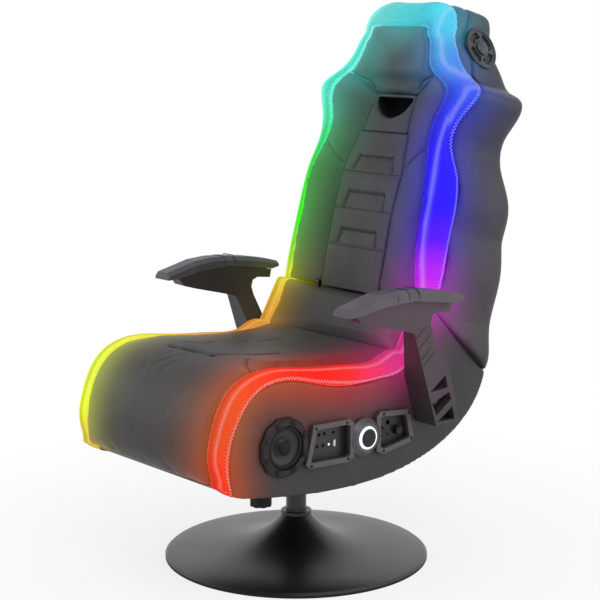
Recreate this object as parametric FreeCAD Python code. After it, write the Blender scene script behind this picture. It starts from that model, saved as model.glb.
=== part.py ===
import FreeCAD, Part
import math
import os
from FreeCAD import Vector as V

# Gaming chair on a round pedestal, in millimetres. X is across the chair (+X is the sitter's left,
# where the control panel is), -Y is the way it faces, Z is up from the floor.
# All shapes are drawn about the pedestal's axis and moved once, when a node is saved.

# Clearances
GAP = 0.3               # between pieces that are bolted or glued side by side
SOFT_GAP = 0.5          # between padded pieces whose meeting faces are curved
RUNNING = 0.05          # radial clearance of a shaft that turns in its hole

# Pedestal
BASE_RADIUS = 265.0
BASE_RIM_HEIGHT = 7.0
BASE_WALL = 2.5
NECK_RADIUS = 29.0
NECK_TOP_Z = 92.0
RIM_RING_WIDTH = 12.0
RIM_RING_HEIGHT = 5.0
FLOOR_GAP = 0.6         # under the steel inside the base
COLLAR_HEIGHT = 7.0
COLLAR_PROUD = 2.0
WEIGHT_RADIUS = 150.0
WEIGHT_THICKNESS = 9.0
STAY_COUNT = 4          # flat stays from the neck tube to the rim
STAY_WIDTH = 30.0
STAY_THICKNESS = 3.5
POST_RADIUS = 20.5
POST_WALL = 3.0
POST_FOOT_Z = 12.0
NECK_TUBE_WALL = 3.0

# Tilt mechanism, between the post and the seat's underside
SEAT_Z = 200.0          # lowest line of the seat's underside
PLATE = 5.0             # sheet of the brackets
LOWER_PLATE_Z = 150.0   # underside of the lower bracket
BRACKET_HALF = 34.0     # half width of the lower bracket
BRACKET_FRONT_Y = -122.0
BRACKET_REAR_Y = 46.0
AXLE_Y = 20.0
AXLE_Z = 175.0
AXLE_RADIUS = 6.0
KNOB_Y = -92.0
KNOB_RADIUS = 21.5
KNOB_HEIGHT = 22.0
KNOB_BOTTOM_Z = 118.0
BOLT_RADIUS = 5.0
SPRING_RADIUS = 13.0
SPRING_WIRE = 2.0
SPRING_TURNS = 7
SPRING_LENGTH = 62.0
LOWER_EAR = 15.0        # radius of the brackets' ears about the axle
UPPER_EAR = 13.0
UPPER_EAR_X = 35.0
AXLE_HEAD = 4.0
FLANGE_HEIGHT = 6.0
KNOB_FLUTES = 8
FLUTE_RADIUS = 5.0
BOLT_SWING = 10.0       # room for the tension bolt while the seat tips
WASHER = 3.0
NUT_HEIGHT = 8.0
MOUNT_HALF = 64.0
MOUNT_FRONT_Y = -118.0
MOUNT_REAR_Y = 58.0
MOUNT_BOLT = 4.0
MOUNT_BOLT_X = 52.0

# Seat, outlines as (y, height above SEAT_Z)
SEAT_HALF = 226.0       # outer face of the padded sides
SIDE_PAD = 22.0         # thickness of a padded side
BOARD = 12.0            # plywood
CUSHION_CROWN = 7.0
DECK_BOARD = 9.0
PANEL = 6.0             # covering panel of the underside
BASE_BOARD_H = 13.5
BASE_BOARD_FRONT = -150.0
BASE_BOARD_REAR = 46.0
WINDOW_HALF = 19.0      # hole in the seat's underside round the spring
FRONT_BOARD_Y = -300.0
LUMBAR_REAR = (205, 268)
LEDGE_PAD = 8.0
LEDGE_START = 86.0
SEAM_REACH = 214.0      # length of the parting seam from the pivot to the rear
SEAT_STRIP_ROUND = 0.74     # how far the strips' faces reach towards a square corner
BACK_STRIP_ROUND = 0.42
STRIP_TOP = [(-366, 53), (-371, 95), (-366, 145), (-343, 201), (-312, 231), (-262, 246),
             (-200, 243), (-130, 235), (-50, 229), (25, 229), (84, 237)]
STRIP_SIDE = [(-337, 34), (-346, 86), (-341, 130), (-320, 176), (-293, 207), (-255, 225),
              (-200, 226), (-130, 208), (-50, 196), (30, 199), (95, 225)]
UNDERSIDE = [(306, 168), (285, 122), (250, 84), (200, 51), (118, 20), (32, 4), (-40, 0),
             (-114, 2), (-219, 12), (-315, 27)]
DECK = [(-318, 50), (-320, 110), (-303, 158), (-262, 178), (-130, 172), (25, 168), (110, 181),
        (165, 215), (199, 266)]

# Fold between seat and back
LEAN = 15.0             # degrees that the back leans from upright
HIP_Y = 135.0           # foot of the back's front face
HIP_H = 305.0           # its height above SEAT_Z
PIVOT_Y = 139.0
PIVOT_H = 331.0
KNUCKLE = 5.0           # radius of the back's foot about the pivot
FOLD_RANGE = 100.0      # degrees
FOLD_GAP = 0.8
FOLD_FACE_N = -8.0      # the padding stays behind this plane near the fold
SEAM_Y = 150.0          # a point of the parting seam's straight run, and its slope
SEAM_H = 320.0
SEAM_SLOPE = 43.5       # degrees that it falls towards the rear
SEAM_FRONT = [(157, 322), (172, 299.1)]
HINGE_X = 90.0
LEAF = 5.0
LEAF_HALF = 4.5
LEAF_FOOT_H = 185.0
EYE_RADIUS = 4.6
PIN_RADIUS = 2.5
FOLD_TOP = (137, 332)   # edges of the light strip where it reaches the fold
FOLD_SIDE = (160, 323)

# Back, in its own leaning frame: u across, n rearwards from the front face, v up from the hip
STATIONS = [-100, 0, 60, 140, 220, 280, 340, 380, 415, 440, 465, 500, 545, 585, 622]
INNER_W = [192, 192, 183, 175, 172, 162, 147, 149, 162, 162, 132, 100, 84, 78, 70]
INNER_N = [-2, -2, -7, -17, -19, -17, -9, -8, -7, -4, -6, -6, -4, -5, -5]
OUTER_W = [226, 226, 221, 213, 210, 203, 191, 200, 220, 230, 202, 155, 131, 117, 98]
OUTER_N = [20, 20, 34, 41, 44, 38, 19, 17, 22, 28, 41, 40, 33, 36, 36]
REAR_N = [208, 208, 214, 218, 215, 200, 178, 172, 172, 170, 182, 178, 158, 155, 140]
CENTRE_W = [86, 86, 86, 86, 86, 85, 72, 64, 60, 58, 58, 57, 54, 48, 40]
CENTRE_N = [0, 0, -4, -7, -6, -1, 8, 14, 20, 24, 14, 4, 2, 2, 2]
BOARD_N = 70.0          # front of the back's plywood board
HEAD_FRONT_TOP = 569.0    # top of the head pad's panel
# The light strip round the head's upper corner: its inner and outer edge as (u, n, v)
HEAD_CORNER = [((80, -5, 557), (125, 36, 572)), ((73, -5, 565), (113, 36, 604)),
               ((55, -5, 569), (88, 36, 621)), ((22, -5, 569), (28, 36, 624))]
REAR_ROUND = 32.0
PANEL_TOP = 350.0       # top of the channelled centre panel
PANEL_TAPER = 270.0
CHANNELS = [108, 186, 264]
CHANNEL_DEPTH = 5.0
NECK_LINE = 431.0
NECK_HALF = 57.0
NECK_FLARE = 8.0        # the neck panel is this much wider at its foot
HEAD_SEAM = (126, 470)  # where the head pad's lower seam reaches its side
RECESS_DEPTH = 36.0
RECESS_HEIGHT = 50.0
BOLSTER_CROWN = 4.0
BOARD_INSET = 18.0
CAVITY_HALF = 112.0     # hollow of the rear shell, for the bass box
CAVITY_N = 166.0
CAVITY_LOW = 60.0
CAVITY_HIGH = 300.0
WOOFER_BOX = 95.0
WOOFER_DEPTH = 78.0
WOOFER_RADIUS = 62.0
WOOFER_V = 175.0

# Speakers and controls
SPEAKER_Y = -224.0
SPEAKER_H = 107.0
SPEAKER_RADIUS = 57.0
CONE_RADIUS = 41.0
FRAME_PROUD = 10.0      # how far frames and pods stand out of the side
HEAD_SPEAKER_V = 547.0
HEAD_SPEAKER_N = 100.0
HEAD_SPEAKER_RADIUS = 44.0
HEAD_SPEAKER_TILT = 24.0
DIAL_Y = -29.0
DIAL_H = 94.0
DIAL_HOUSING_RADIUS = 37.0
DIAL_RADIUS = 22.0
POD_WALL = 7.0
POD_DEPTH = 16.0
POD_LIP = 3.0
POD_BOX = 28.0          # how far the pods reach into the side
BASKET = 2.0
BASKET_DEPTH = 34.0
DUST_CAP = 14.0
MAGNET_RADIUS = 34.0
MAGNET_DEPTH = 18.0
SPEAKER_SIDES = 12
HEAD_SPEAKER_U = 132.0
HEAD_FRAME = 4.0
HEAD_SLOT_OUTER = 34.0
HEAD_SLOT_INNER = 20.0
HEAD_CUP = 22.0
HOUSING_PROUD = 16.0
DIAL_SUNK = 6.0
DIAL_PROUD = 3.0
BUTTON_RADIUS = 14.0
BUTTON_SUNK = 5.0
SPINDLE = 5.0
PRESS = 1.5             # travel of a push button
SOCKET_RADIUS = 1.9
SOCKET_PLACES = [(-132, 113), (-119, 113), (-97, 112), (-137, 91), (-122, 91)]
LAMP_PLACE = (-108, 91)
LAMP_RADIUS = 2.2
SWITCH_PLACE = (-96, 92)
SWITCH_WIDTH = 4.0
SWITCH_HEIGHT = 12.0
SWITCH_STAND = 3.0
SWITCH_TRAVEL = 1.5
POST_HOLE = 3.0
VOLUME_PLACE = (21, 94)
VOLUME_RADIUS = 9.0
BASS_PLACE = (64, 91)
BASS_RADIUS = 8.0
PAIR_PLACE = (44, 84)
INLET_PLACE = (43, 108)
INLET_RADIUS = 5.0
KNOB_STAND = 11.0
PAIR_LENGTH = 8.0
AMP_DEPTH = 46.0
AMP_FRONT = -165.0
AMP_REAR = 80.0
AMP_LOW = 56.0
AMP_HIGH = 134.0
SOCKET_POD = [(-158, 138), (-72, 136), (-58, 128), (-58, 62), (-72, 54), (-168, 58), (-176, 66)]
KNOB_POD = [(0, 128), (10, 137), (78, 131), (86, 126), (97, 74), (90, 65), (18, 53), (0, 61)]

# Arms
ARM_INNER = 253.5
ARM_OUTER = 284.0
PAD_INNER = 252.0
PAD_OUTER = 299.0
FOOT_TOP_H = 190.0
ARM_BODY = [(-99, 341), (-40, 351), (33, 354), (130, 340), (146, 337), (142, 320), (107, 324),
            (95, 319), (91, 305), (110, 247), (124, 235), (139, 216), (153, 175), (174, 101),
            (110, 101), (49, 289), (38, 293), (-61, 318), (-88, 327)]
PAD_TOP = [(-125, 356), (-52, 374), (-10, 377), (30, 376), (90, 369), (140, 360), (166, 353)]
PAD_UNDER = [(166, 342), (146, 338), (130, 341), (33, 355), (-40, 352), (-99, 342), (-127, 341)]
PAD_REAR_H = 347.0
ARM_CHAMFER = 8.0
ARM_SPLAY_H = 288.0     # above this the strut stands clear of the seat
ARM_BOLT = 4.0
ARM_BOLT_HEAD = 6.5
ARM_BOLT_PLACES = [(126, 145), (143, 118)]
TRUSS = [[(92, 170), (134, 199), (139, 173)], [(98, 147), (144, 164), (150, 149), (110, 122)],
         [(113, 109), (153, 134), (160, 108)]]
TRUSS_DEPTH = 24.0

X_AXIS = V(1, 0, 0)
Y_AXIS = V(0, 1, 0)
Z_AXIS = V(0, 0, 1)
PIVOT = V(0, PIVOT_Y, SEAT_Z + PIVOT_H)
NECK_OUTER = NECK_RADIUS - BASE_WALL - GAP
SPRING_FOOT_Z = SEAT_Z
FAR = 400.0             # longer than any cut needs
EYE_N = (PIVOT_Y - HIP_Y) * math.cos(math.radians(LEAN)) - (PIVOT_H - HIP_H) * math.sin(math.radians(LEAN))
EYE_V = (PIVOT_Y - HIP_Y) * math.sin(math.radians(LEAN)) + (PIVOT_H - HIP_H) * math.cos(math.radians(LEAN))
INNER_X = SEAT_HALF - SIDE_PAD - BOARD      # inner face of the side boards
PLACE_Y = -30.0         # moves the pedestal's axis so that the chair's length is centred on Y = 0


def save(name, *shapes):
    """Write one node, moved into the part's own frame."""
    shape = shapes[0] if len(shapes) == 1 else Part.makeCompound(list(shapes))
    shape = shape.copy()
    shape.translate(V(0, PLACE_Y, 0))
    shape.exportStep("parts/" + name + ".step")
    print(name, len(shape.Solids), round(shape.Volume), shape.isValid())


def mirrored(shape):
    """The same piece on the other side of the chair."""
    return shape.mirror(V(0, 0, 0), X_AXIS)


def seat_point(pair, x=0.0):
    return V(x, pair[0], SEAT_Z + pair[1])


def edge_through(points):
    """A straight edge through two points, or a smooth curve through more."""
    if len(points) == 2:
        return Part.makeLine(points[0], points[1])
    curve = Part.BSplineCurve()
    curve.interpolate(points)
    return curve.toShape()


def face_of(runs):
    """A flat face whose outline is made of runs of points, each starting where the last ended."""
    return Part.Face(Part.Wire([edge_through(run) for run in runs]))


def polygon(points):
    return Part.Face(Part.makePolygon(list(points) + [points[0]]))


def across(face, low, high):
    """Stretch a side outline, drawn at x = 0, from x = low to x = high."""
    face = face.copy()
    face.translate(V(low, 0, 0))
    return face.extrude(V(high - low, 0, 0))


def offset_points(points, distance):
    """Points moved sideways, to the left of the way the path runs."""
    moved = []
    for i, point in enumerate(points):
        before = points[max(i - 1, 0)]
        after = points[min(i + 1, len(points) - 1)]
        dy, dh = after[0] - before[0], after[1] - before[1]
        length = math.hypot(dy, dh)
        moved.append((point[0] - dh / length * distance, point[1] + dy / length * distance))
    return moved


def tube(outer, inner, low, high, x=0.0, y=0.0):
    """An upright tube."""
    ring = Part.makeCylinder(outer, high - low, V(x, y, low), Z_AXIS)
    return ring.cut(Part.makeCylinder(inner, high - low, V(x, y, low), Z_AXIS))


def rod_x(radius, low, high, y, z):
    return Part.makeCylinder(radius, high - low, V(low, y, z), X_AXIS)


def block(x0, x1, y0, y1, z0, z1):
    return Part.makeBox(x1 - x0, y1 - y0, z1 - z0, V(x0, y0, z0))


def spin(points, axis_point=V(0, 0, 0), axis=Z_AXIS):
    """Turn a closed outline of (radius, z) runs about the pedestal's axis."""
    runs = [[V(r, 0, z) for r, z in run] for run in points]
    return face_of(runs).revolve(axis_point, axis, 360)


# Pedestal

def dish_line(drop):
    """The trumpet's top line, from neck to rim, moved in and down by the drop."""
    return [(NECK_RADIUS - drop, NECK_TOP_Z - COLLAR_HEIGHT - GAP), (NECK_RADIUS + 15 - drop, 67 - drop),
            (NECK_RADIUS + 48 - drop, 43 - drop), (NECK_RADIUS + 110, 24 - drop),
            (BASE_RADIUS - 5, BASE_RIM_HEIGHT + 2 - drop)]


def make_base():
    top = dish_line(0)
    under = dish_line(BASE_WALL)
    rim = BASE_RADIUS - RIM_RING_WIDTH
    dish = spin([top, [top[-1], (BASE_RADIUS, RIM_RING_HEIGHT)],
                 [(BASE_RADIUS, RIM_RING_HEIGHT), (rim, RIM_RING_HEIGHT)],
                 [(rim, RIM_RING_HEIGHT), under[-1]], under[::-1], [under[0], top[0]]])
    ring = tube(BASE_RADIUS, rim, 0, RIM_RING_HEIGHT)
    collar = Part.makeCylinder(NECK_RADIUS + COLLAR_PROUD, COLLAR_HEIGHT, V(0, 0, NECK_TOP_Z - COLLAR_HEIGHT))
    collar = collar.makeFillet(COLLAR_PROUD, [e for e in collar.Edges if e.BoundBox.ZMin > NECK_TOP_Z - 1])
    neck = Part.makeCylinder(NECK_OUTER, NECK_TOP_Z - FLOOR_GAP, V(0, 0, FLOOR_GAP)).fuse(collar)
    bore_depth = NECK_TOP_Z - POST_FOOT_Z + GAP
    neck = neck.cut(Part.makeCylinder(NECK_OUTER - NECK_TUBE_WALL, bore_depth, V(0, 0, POST_FOOT_Z - GAP)))
    weight = tube(WEIGHT_RADIUS, NECK_OUTER + GAP, RIM_RING_HEIGHT, RIM_RING_HEIGHT + WEIGHT_THICKNESS)
    arms = [block(NECK_OUTER - 1, BASE_RADIUS - RIM_RING_WIDTH - GAP, -STAY_WIDTH / 2, STAY_WIDTH / 2,
                  RIM_RING_HEIGHT - STAY_THICKNESS - GAP, RIM_RING_HEIGHT - GAP) for _ in range(STAY_COUNT)]
    for i, arm in enumerate(arms):
        arm.rotate(V(0, 0, 0), Z_AXIS, 360 * i / STAY_COUNT)
        neck = neck.fuse(arm)
    bush = tube(NECK_OUTER - NECK_TUBE_WALL, POST_RADIUS + RUNNING, POST_FOOT_Z, NECK_TOP_Z)
    save("base_dish", dish)
    save("base_rim_ring", ring)
    save("neck_tube", neck.removeSplitter())
    save("base_weight", weight)
    save("swivel_bush", bush)


# Swivel post and tilt mechanism

def ear(radius, x0, x1, z0, z1):
    """One cheek of a bracket: a round end on the axle's line and a leg to its plate."""
    eye = rod_x(radius, x0, x1, AXLE_Y, AXLE_Z)
    return eye.fuse(block(x0, x1, AXLE_Y - radius, AXLE_Y + radius, z0, z1))


def make_swivel():
    post = tube(POST_RADIUS, POST_RADIUS - POST_WALL, POST_FOOT_Z, LOWER_PLATE_Z)
    top = LOWER_PLATE_Z + PLATE
    bracket = block(-BRACKET_HALF, BRACKET_HALF, BRACKET_FRONT_Y, BRACKET_REAR_Y, LOWER_PLATE_Z, top)
    for side in (-1, 1):
        x0, x1 = sorted((side * BRACKET_HALF, side * (BRACKET_HALF - PLATE)))
        bracket = bracket.fuse(ear(LOWER_EAR, x0, x1, LOWER_PLATE_Z, AXLE_Z))
        flange = block(x0, x1, BRACKET_FRONT_Y, BRACKET_REAR_Y, LOWER_PLATE_Z, top + FLANGE_HEIGHT)
        bracket = bracket.fuse(flange)
    bracket = bracket.cut(rod_x(AXLE_RADIUS, -BRACKET_HALF, BRACKET_HALF, AXLE_Y, AXLE_Z))
    bracket = bracket.cut(Part.makeCylinder(BOLT_RADIUS + RUNNING, PLATE, V(0, KNOB_Y, LOWER_PLATE_Z)))
    end = UPPER_EAR_X + PLATE + GAP
    axle = rod_x(AXLE_RADIUS, -end, end, AXLE_Y, AXLE_Z)
    for side in (-1, 1):
        x0, x1 = sorted((side * end, side * (end + AXLE_HEAD)))
        axle = axle.fuse(rod_x(AXLE_RADIUS + AXLE_HEAD, x0, x1, AXLE_Y, AXLE_Z))
    save("swivel_post", post)
    save("tilt_lower_bracket", bracket.removeSplitter())
    save("tilt_axle", axle)


def make_tension():
    knob_top = KNOB_BOTTOM_Z + KNOB_HEIGHT
    knob = Part.makeCylinder(KNOB_RADIUS, KNOB_HEIGHT, V(0, KNOB_Y, KNOB_BOTTOM_Z))
    for i in range(KNOB_FLUTES):
        turn = 2 * math.pi * i / KNOB_FLUTES
        reach = KNOB_RADIUS + FLUTE_RADIUS / 2
        place = V(reach * math.cos(turn), KNOB_Y + reach * math.sin(turn), KNOB_BOTTOM_Z)
        knob = knob.cut(Part.makeCylinder(FLUTE_RADIUS, KNOB_HEIGHT, place))
    neck_height = LOWER_PLATE_Z - GAP - knob_top
    knob = knob.fuse(Part.makeCylinder(KNOB_RADIUS / 2, neck_height, V(0, KNOB_Y, knob_top)))
    bolt_top = SPRING_FOOT_Z + SPRING_LENGTH + WASHER + NUT_HEIGHT + GAP
    bolt_foot = LOWER_PLATE_Z - GAP
    bolt = Part.makeCylinder(BOLT_RADIUS, bolt_top - bolt_foot, V(0, KNOB_Y, bolt_foot))
    nut = Part.makeCylinder(BOLT_RADIUS * 2, NUT_HEIGHT, V(0, KNOB_Y, bolt_top - NUT_HEIGHT))
    washer_z = SPRING_FOOT_Z + SPRING_LENGTH + GAP
    washer = Part.makeCylinder(SPRING_RADIUS + SPRING_WIRE + 1, WASHER, V(0, KNOB_Y, washer_z))
    save("tension_knob", knob)
    save("tension_bolt", bolt.fuse(washer).fuse(nut).removeSplitter())


def make_spring():
    """The coil that the seat squeezes against the washer when it tips back."""
    travel = SPRING_LENGTH - 2 * SPRING_WIRE
    helix = Part.makeHelix(travel / SPRING_TURNS, travel, SPRING_RADIUS)
    circle = Part.makeCircle(SPRING_WIRE, V(SPRING_RADIUS, 0, 0), Y_AXIS)
    coil = Part.Wire(helix.Edges).makePipeShell([Part.Wire(circle)], True, True)
    coil.translate(V(0, KNOB_Y, SPRING_FOOT_Z + SPRING_WIRE))
    save("tilt_spring", coil)


def make_upper_bracket():
    top = SEAT_Z - GAP
    bottom = top - PLATE
    bracket = block(-MOUNT_HALF, MOUNT_HALF, MOUNT_FRONT_Y, MOUNT_REAR_Y, bottom, top)
    for side in (-1, 1):
        x0, x1 = sorted((side * UPPER_EAR_X, side * (UPPER_EAR_X + PLATE)))
        bracket = bracket.fuse(ear(UPPER_EAR, x0, x1, AXLE_Z, bottom))
    reach = UPPER_EAR_X + PLATE
    bracket = bracket.cut(rod_x(AXLE_RADIUS + RUNNING, -reach, reach, AXLE_Y, AXLE_Z))
    slot = block(-BOLT_RADIUS - 2, BOLT_RADIUS + 2, KNOB_Y - BOLT_RADIUS - BOLT_SWING, KNOB_Y + BOLT_RADIUS + 1,
                 bottom, top)
    bracket = bracket.cut(slot)
    bolts = []
    for x, y in mount_places():
        bracket = bracket.cut(Part.makeCylinder(MOUNT_BOLT + GAP, PLATE, V(x, y, bottom)))
        shaft = Part.makeCylinder(MOUNT_BOLT, base_board_top() + NUT_HEIGHT - bottom, V(x, y, bottom))
        head = Part.makeCylinder(MOUNT_BOLT * 1.7, MOUNT_BOLT, V(x, y, bottom - MOUNT_BOLT))
        nut = tube(MOUNT_BOLT * 1.7, MOUNT_BOLT, base_board_top(), base_board_top() + NUT_HEIGHT, x, y)
        bolts.append(shaft.fuse(head).fuse(nut).removeSplitter())
    save("tilt_upper_bracket", bracket.removeSplitter())
    save("mount_bolts", *bolts)


def mount_places():
    return [(side * MOUNT_BOLT_X, y) for side in (-1, 1) for y in (MOUNT_FRONT_Y + 18, MOUNT_REAR_Y - 14)]


def base_board_top():
    return SEAT_Z + BASE_BOARD_H + BOARD


# Space that the back's foot needs, and the seam between seat and back

def seam_axes():
    """Direction of the parting seam's straight run, and its normal."""
    slope = math.radians(SEAM_SLOPE)
    return V(0, math.cos(slope), -math.sin(slope)), V(0, math.sin(slope), math.cos(slope))


def seam_region(depth, above):
    """What lies above or below the parting seam, the seam being lowered by the depth."""
    along, _ = seam_axes()
    line = [PIVOT - V(0, FAR, 0), PIVOT] + [seat_point(p) for p in SEAM_FRONT]
    line.append(V(0, SEAM_Y, SEAT_Z + SEAM_H) + along * FAR)
    line = [p - V(0, 0.5, 0.85) * depth for p in line]
    height = FAR if above else -FAR * 2
    corners = line + [V(0, line[-1].y, PIVOT.z + height), V(0, line[0].y, PIVOT.z + height)]
    return across(polygon(corners), -FAR, FAR)


def fold_space():
    """What the seat leaves free for the foot of the back."""
    disc = rod_x(KNUCKLE + FOLD_GAP, -FAR, FAR, PIVOT.y, PIVOT.z)
    return seam_region(FOLD_GAP, True).fuse(disc)


def folded_front():
    """Where the front of the back comes to lie when it is folded down."""
    front = on_back(block(-FAR, FAR, FOLD_FACE_N, FAR / 2, 0, FAR))
    front.rotate(PIVOT, X_AXIS, FOLD_RANGE)
    return front


def seam_board(start, end, depth, thickness, half):
    """A board that lies under the seam, from start to end along it."""
    along, normal = seam_axes()
    foot = V(0, SEAM_Y, SEAT_Z + SEAM_H)
    low = foot - normal * (depth + thickness)
    high = foot - normal * depth
    corners = [low + along * start, low + along * end, high + along * end, high + along * start]
    return across(polygon(corners), -half, half)


# Seat

def strip_wire(inner, outer, low_inner, corner, roundness):
    """Outline of a padded light strip: a round face from its inner to its outer edge."""
    middle = (inner + outer) * 0.5
    middle = middle + (corner - middle) * roundness
    edges = [Part.Arc(inner, middle, outer).toShape(), Part.makeLine(outer, low_inner),
             Part.makeLine(low_inner, inner)]
    return Part.Wire(edges)


def seat_strip_wire(top, side):
    x = INNER_X + SOFT_GAP
    return strip_wire(seat_point(top, x), seat_point(side, SEAT_HALF), seat_point(side, x),
                      seat_point(top, SEAT_HALF), SEAT_STRIP_ROUND)


def seat_strip():
    """The strip of one side: along the seat, then up beside the lumbar pad to the fold."""
    wires = [seat_strip_wire(top, side) for top, side in zip(STRIP_TOP, STRIP_SIDE)]
    hip = seat_strip_wire(FOLD_TOP, FOLD_SIDE)
    strip = Part.makeLoft(wires, True, False)
    strip = strip.fuse(Part.makeLoft([wires[-1], hip], True, True))
    return strip.cut(fold_space()).cut(folded_front()).removeSplitter()


def side_outline():
    """Outline of a seat side, under the light strip and the parting seam."""
    top = offset_points(STRIP_SIDE, -SOFT_GAP)
    fold = (FOLD_SIDE[0], FOLD_SIDE[1] - 2 * SOFT_GAP)
    tail = (SEAM_Y + SEAM_REACH * math.cos(math.radians(SEAM_SLOPE)),
            SEAM_H - SEAM_REACH * math.sin(math.radians(SEAM_SLOPE)))
    runs = [top, [top[-1], fold], [fold, tail], [tail, UNDERSIDE[0]], UNDERSIDE, [UNDERSIDE[-1], top[0]]]
    return face_of([[seat_point(pair) for pair in run] for run in runs])


def pod_face(points, inset=0.0):
    face = polygon([seat_point(pair) for pair in points])
    return face.makeOffset2D(-inset) if inset else face


def side_holes():
    """Holes through the side for the loudspeaker and, on +X, for the control pods."""
    speaker = rod_x(CONE_RADIUS + BASKET + GAP, INNER_X, SEAT_HALF, SPEAKER_Y, SEAT_Z + SPEAKER_H)
    pods = [across(pod_face(points, POD_WALL - GAP), INNER_X, SEAT_HALF) for points in (SOCKET_POD, KNOB_POD)]
    return speaker, pods


def arm_bolt_holes(x0, x1):
    return [rod_x(ARM_BOLT + GAP / 2, x0, x1, y, SEAT_Z + h) for y, h in ARM_BOLT_PLACES]


def make_seat_sides():
    outline = side_outline()
    strip = seat_strip()
    space = fold_space().fuse(folded_front()).fuse(strip)
    speaker, pods = side_holes()
    for name, low, high in (("seat_side_board", INNER_X, INNER_X + BOARD),
                            ("seat_side_pad", INNER_X + BOARD + GAP, SEAT_HALF)):
        side = across(outline, low, high).cut(space).cut(speaker)
        for hole in arm_bolt_holes(low, high):
            side = side.cut(hole)
        save(name + "_right", mirrored(side))
        for hole in pods:
            side = side.cut(hole)
        save(name + "_left", side)
    save("seat_strip_left", strip)
    save("seat_strip_right", mirrored(strip))


def make_deck():
    under = offset_points(DECK, -DECK_BOARD)
    runs = [DECK, [DECK[-1], under[-1]], under[::-1], [under[0], DECK[0]]]
    deck = across(face_of([[seat_point(p) for p in run] for run in runs]), GAP - INNER_X, INNER_X - GAP)
    return deck.cut(seam_region(FOLD_GAP + SOFT_GAP, True))


def cushion_wire(x, crown):
    """The seat cushion's outline at one place across the chair."""
    top = offset_points(STRIP_TOP, crown)
    low = offset_points(DECK[:7], GAP)
    runs = [top, [top[-1], low[-1]], low[::-1], [low[0], top[0]]]
    return Part.Wire([edge_through([seat_point(p, x) for p in run]) for run in runs])


def make_cushions(deck):
    half = INNER_X - GAP
    places = [(-half, 0), (-half * 0.6, CUSHION_CROWN * 0.8), (0, CUSHION_CROWN),
              (half * 0.6, CUSHION_CROWN * 0.8), (half, 0)]
    cushion = Part.makeLoft([cushion_wire(x, crown) for x, crown in places], True, False)
    start = STRIP_TOP[-1]
    corners = [(start[0] + SOFT_GAP, start[1]), FOLD_TOP, (PIVOT_Y, PIVOT_H)] + SEAM_FRONT
    corners += [LUMBAR_REAR, DECK[8], DECK[7], (DECK[6][0] + SOFT_GAP, DECK[6][1])]
    lumbar = across(polygon([seat_point(p) for p in corners]), -half, half)
    lumbar = lumbar.cut(fold_space()).cut(folded_front()).cut(deck).cut(cushion)
    for side in (-1, 1):
        x = side * HINGE_X
        lumbar = lumbar.cut(block(x - LEAF / 2 - GAP, x + LEAF / 2 + GAP, PIVOT_Y - LEAF_HALF - GAP,
                                  PIVOT_Y + LEAF_HALF + GAP, SEAT_Z, SEAT_Z + PIVOT_H))
    save("seat_cushion", cushion.cut(deck))
    save("lumbar_pad", lumbar)


def make_seat_core():
    deck = make_deck()
    half = INNER_X - GAP
    make_cushions(deck)
    path = UNDERSIDE + [(-349, 45)]
    upper = offset_points(path, -PANEL)
    runs = [path, [path[-1], upper[-1]], upper[::-1], [upper[0], path[0]]]
    panel = across(face_of([[seat_point(p) for p in run] for run in runs]), -half, half)
    board = block(-half, half, BASE_BOARD_FRONT, BASE_BOARD_REAR, SEAT_Z + BASE_BOARD_H, base_board_top())
    window = block(-WINDOW_HALF, WINDOW_HALF, KNOB_Y - WINDOW_HALF - BOLT_SWING, KNOB_Y + WINDOW_HALF,
                   SEAT_Z - 1, base_board_top())
    panel = panel.cut(window)
    board = board.cut(window).cut(panel)
    for x, y in mount_places():
        hole = Part.makeCylinder(MOUNT_BOLT + GAP / 2, base_board_top() - SEAT_Z + PLATE, V(x, y, SEAT_Z - PLATE))
        panel = panel.cut(hole)
        board = board.cut(hole)
    ledge_pad = seam_board(LEDGE_START, SEAM_REACH - 4, FOLD_GAP, LEDGE_PAD, half).cut(panel)
    ledge = seam_board(LEDGE_START, SEAM_REACH - 6, FOLD_GAP + LEDGE_PAD + GAP, BOARD, half).cut(panel)
    front = block(-half, half, FRONT_BOARD_Y, FRONT_BOARD_Y + BOARD, SEAT_Z + 26, SEAT_Z + 148)
    save("seat_deck", deck)
    save("seat_underside_panel", panel)
    save("seat_cross_boards", board, ledge.cut(deck), front.cut(deck).cut(panel))
    save("seat_ledge_pad", ledge_pad.cut(deck))
    make_hinge_leaves(deck)


# Fold hinge

def make_hinge_leaves(deck):
    leaves, back_leaves, pins = [], [], []
    for side in (-1, 1):
        x0, x1 = sorted((side * (HINGE_X - LEAF / 2), side * (HINGE_X + LEAF / 2)))
        leaf = rod_x(EYE_RADIUS, x0, x1, PIVOT.y, PIVOT.z)
        leaf = leaf.fuse(block(x0, x1, PIVOT_Y - LEAF_HALF, PIVOT_Y + LEAF_HALF, SEAT_Z + LEAF_FOOT_H, PIVOT.z))
        leaf = leaf.cut(rod_x(PIN_RADIUS + RUNNING, x0, x1, PIVOT.y, PIVOT.z)).cut(deck)
        leaves.append(max(leaf.Solids, key=lambda solid: solid.Volume))
        inner = HINGE_X + LEAF / 2 + GAP
        x0, x1 = sorted((side * inner, side * (inner + LEAF)))
        back_leaves.append(back_leaf(x0, x1, 0.0).cut(rod_x(PIN_RADIUS, x0, x1, PIVOT.y, PIVOT.z)))
        x0, x1 = sorted((side * (HINGE_X - LEAF / 2 - 1), side * (inner + LEAF + 1)))
        pins.append(rod_x(PIN_RADIUS, x0, x1, PIVOT.y, PIVOT.z))
    save("fold_hinge_seat_leaves", *leaves)
    save("fold_hinge_back_leaves", *back_leaves)
    save("fold_pins", *pins)


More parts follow.
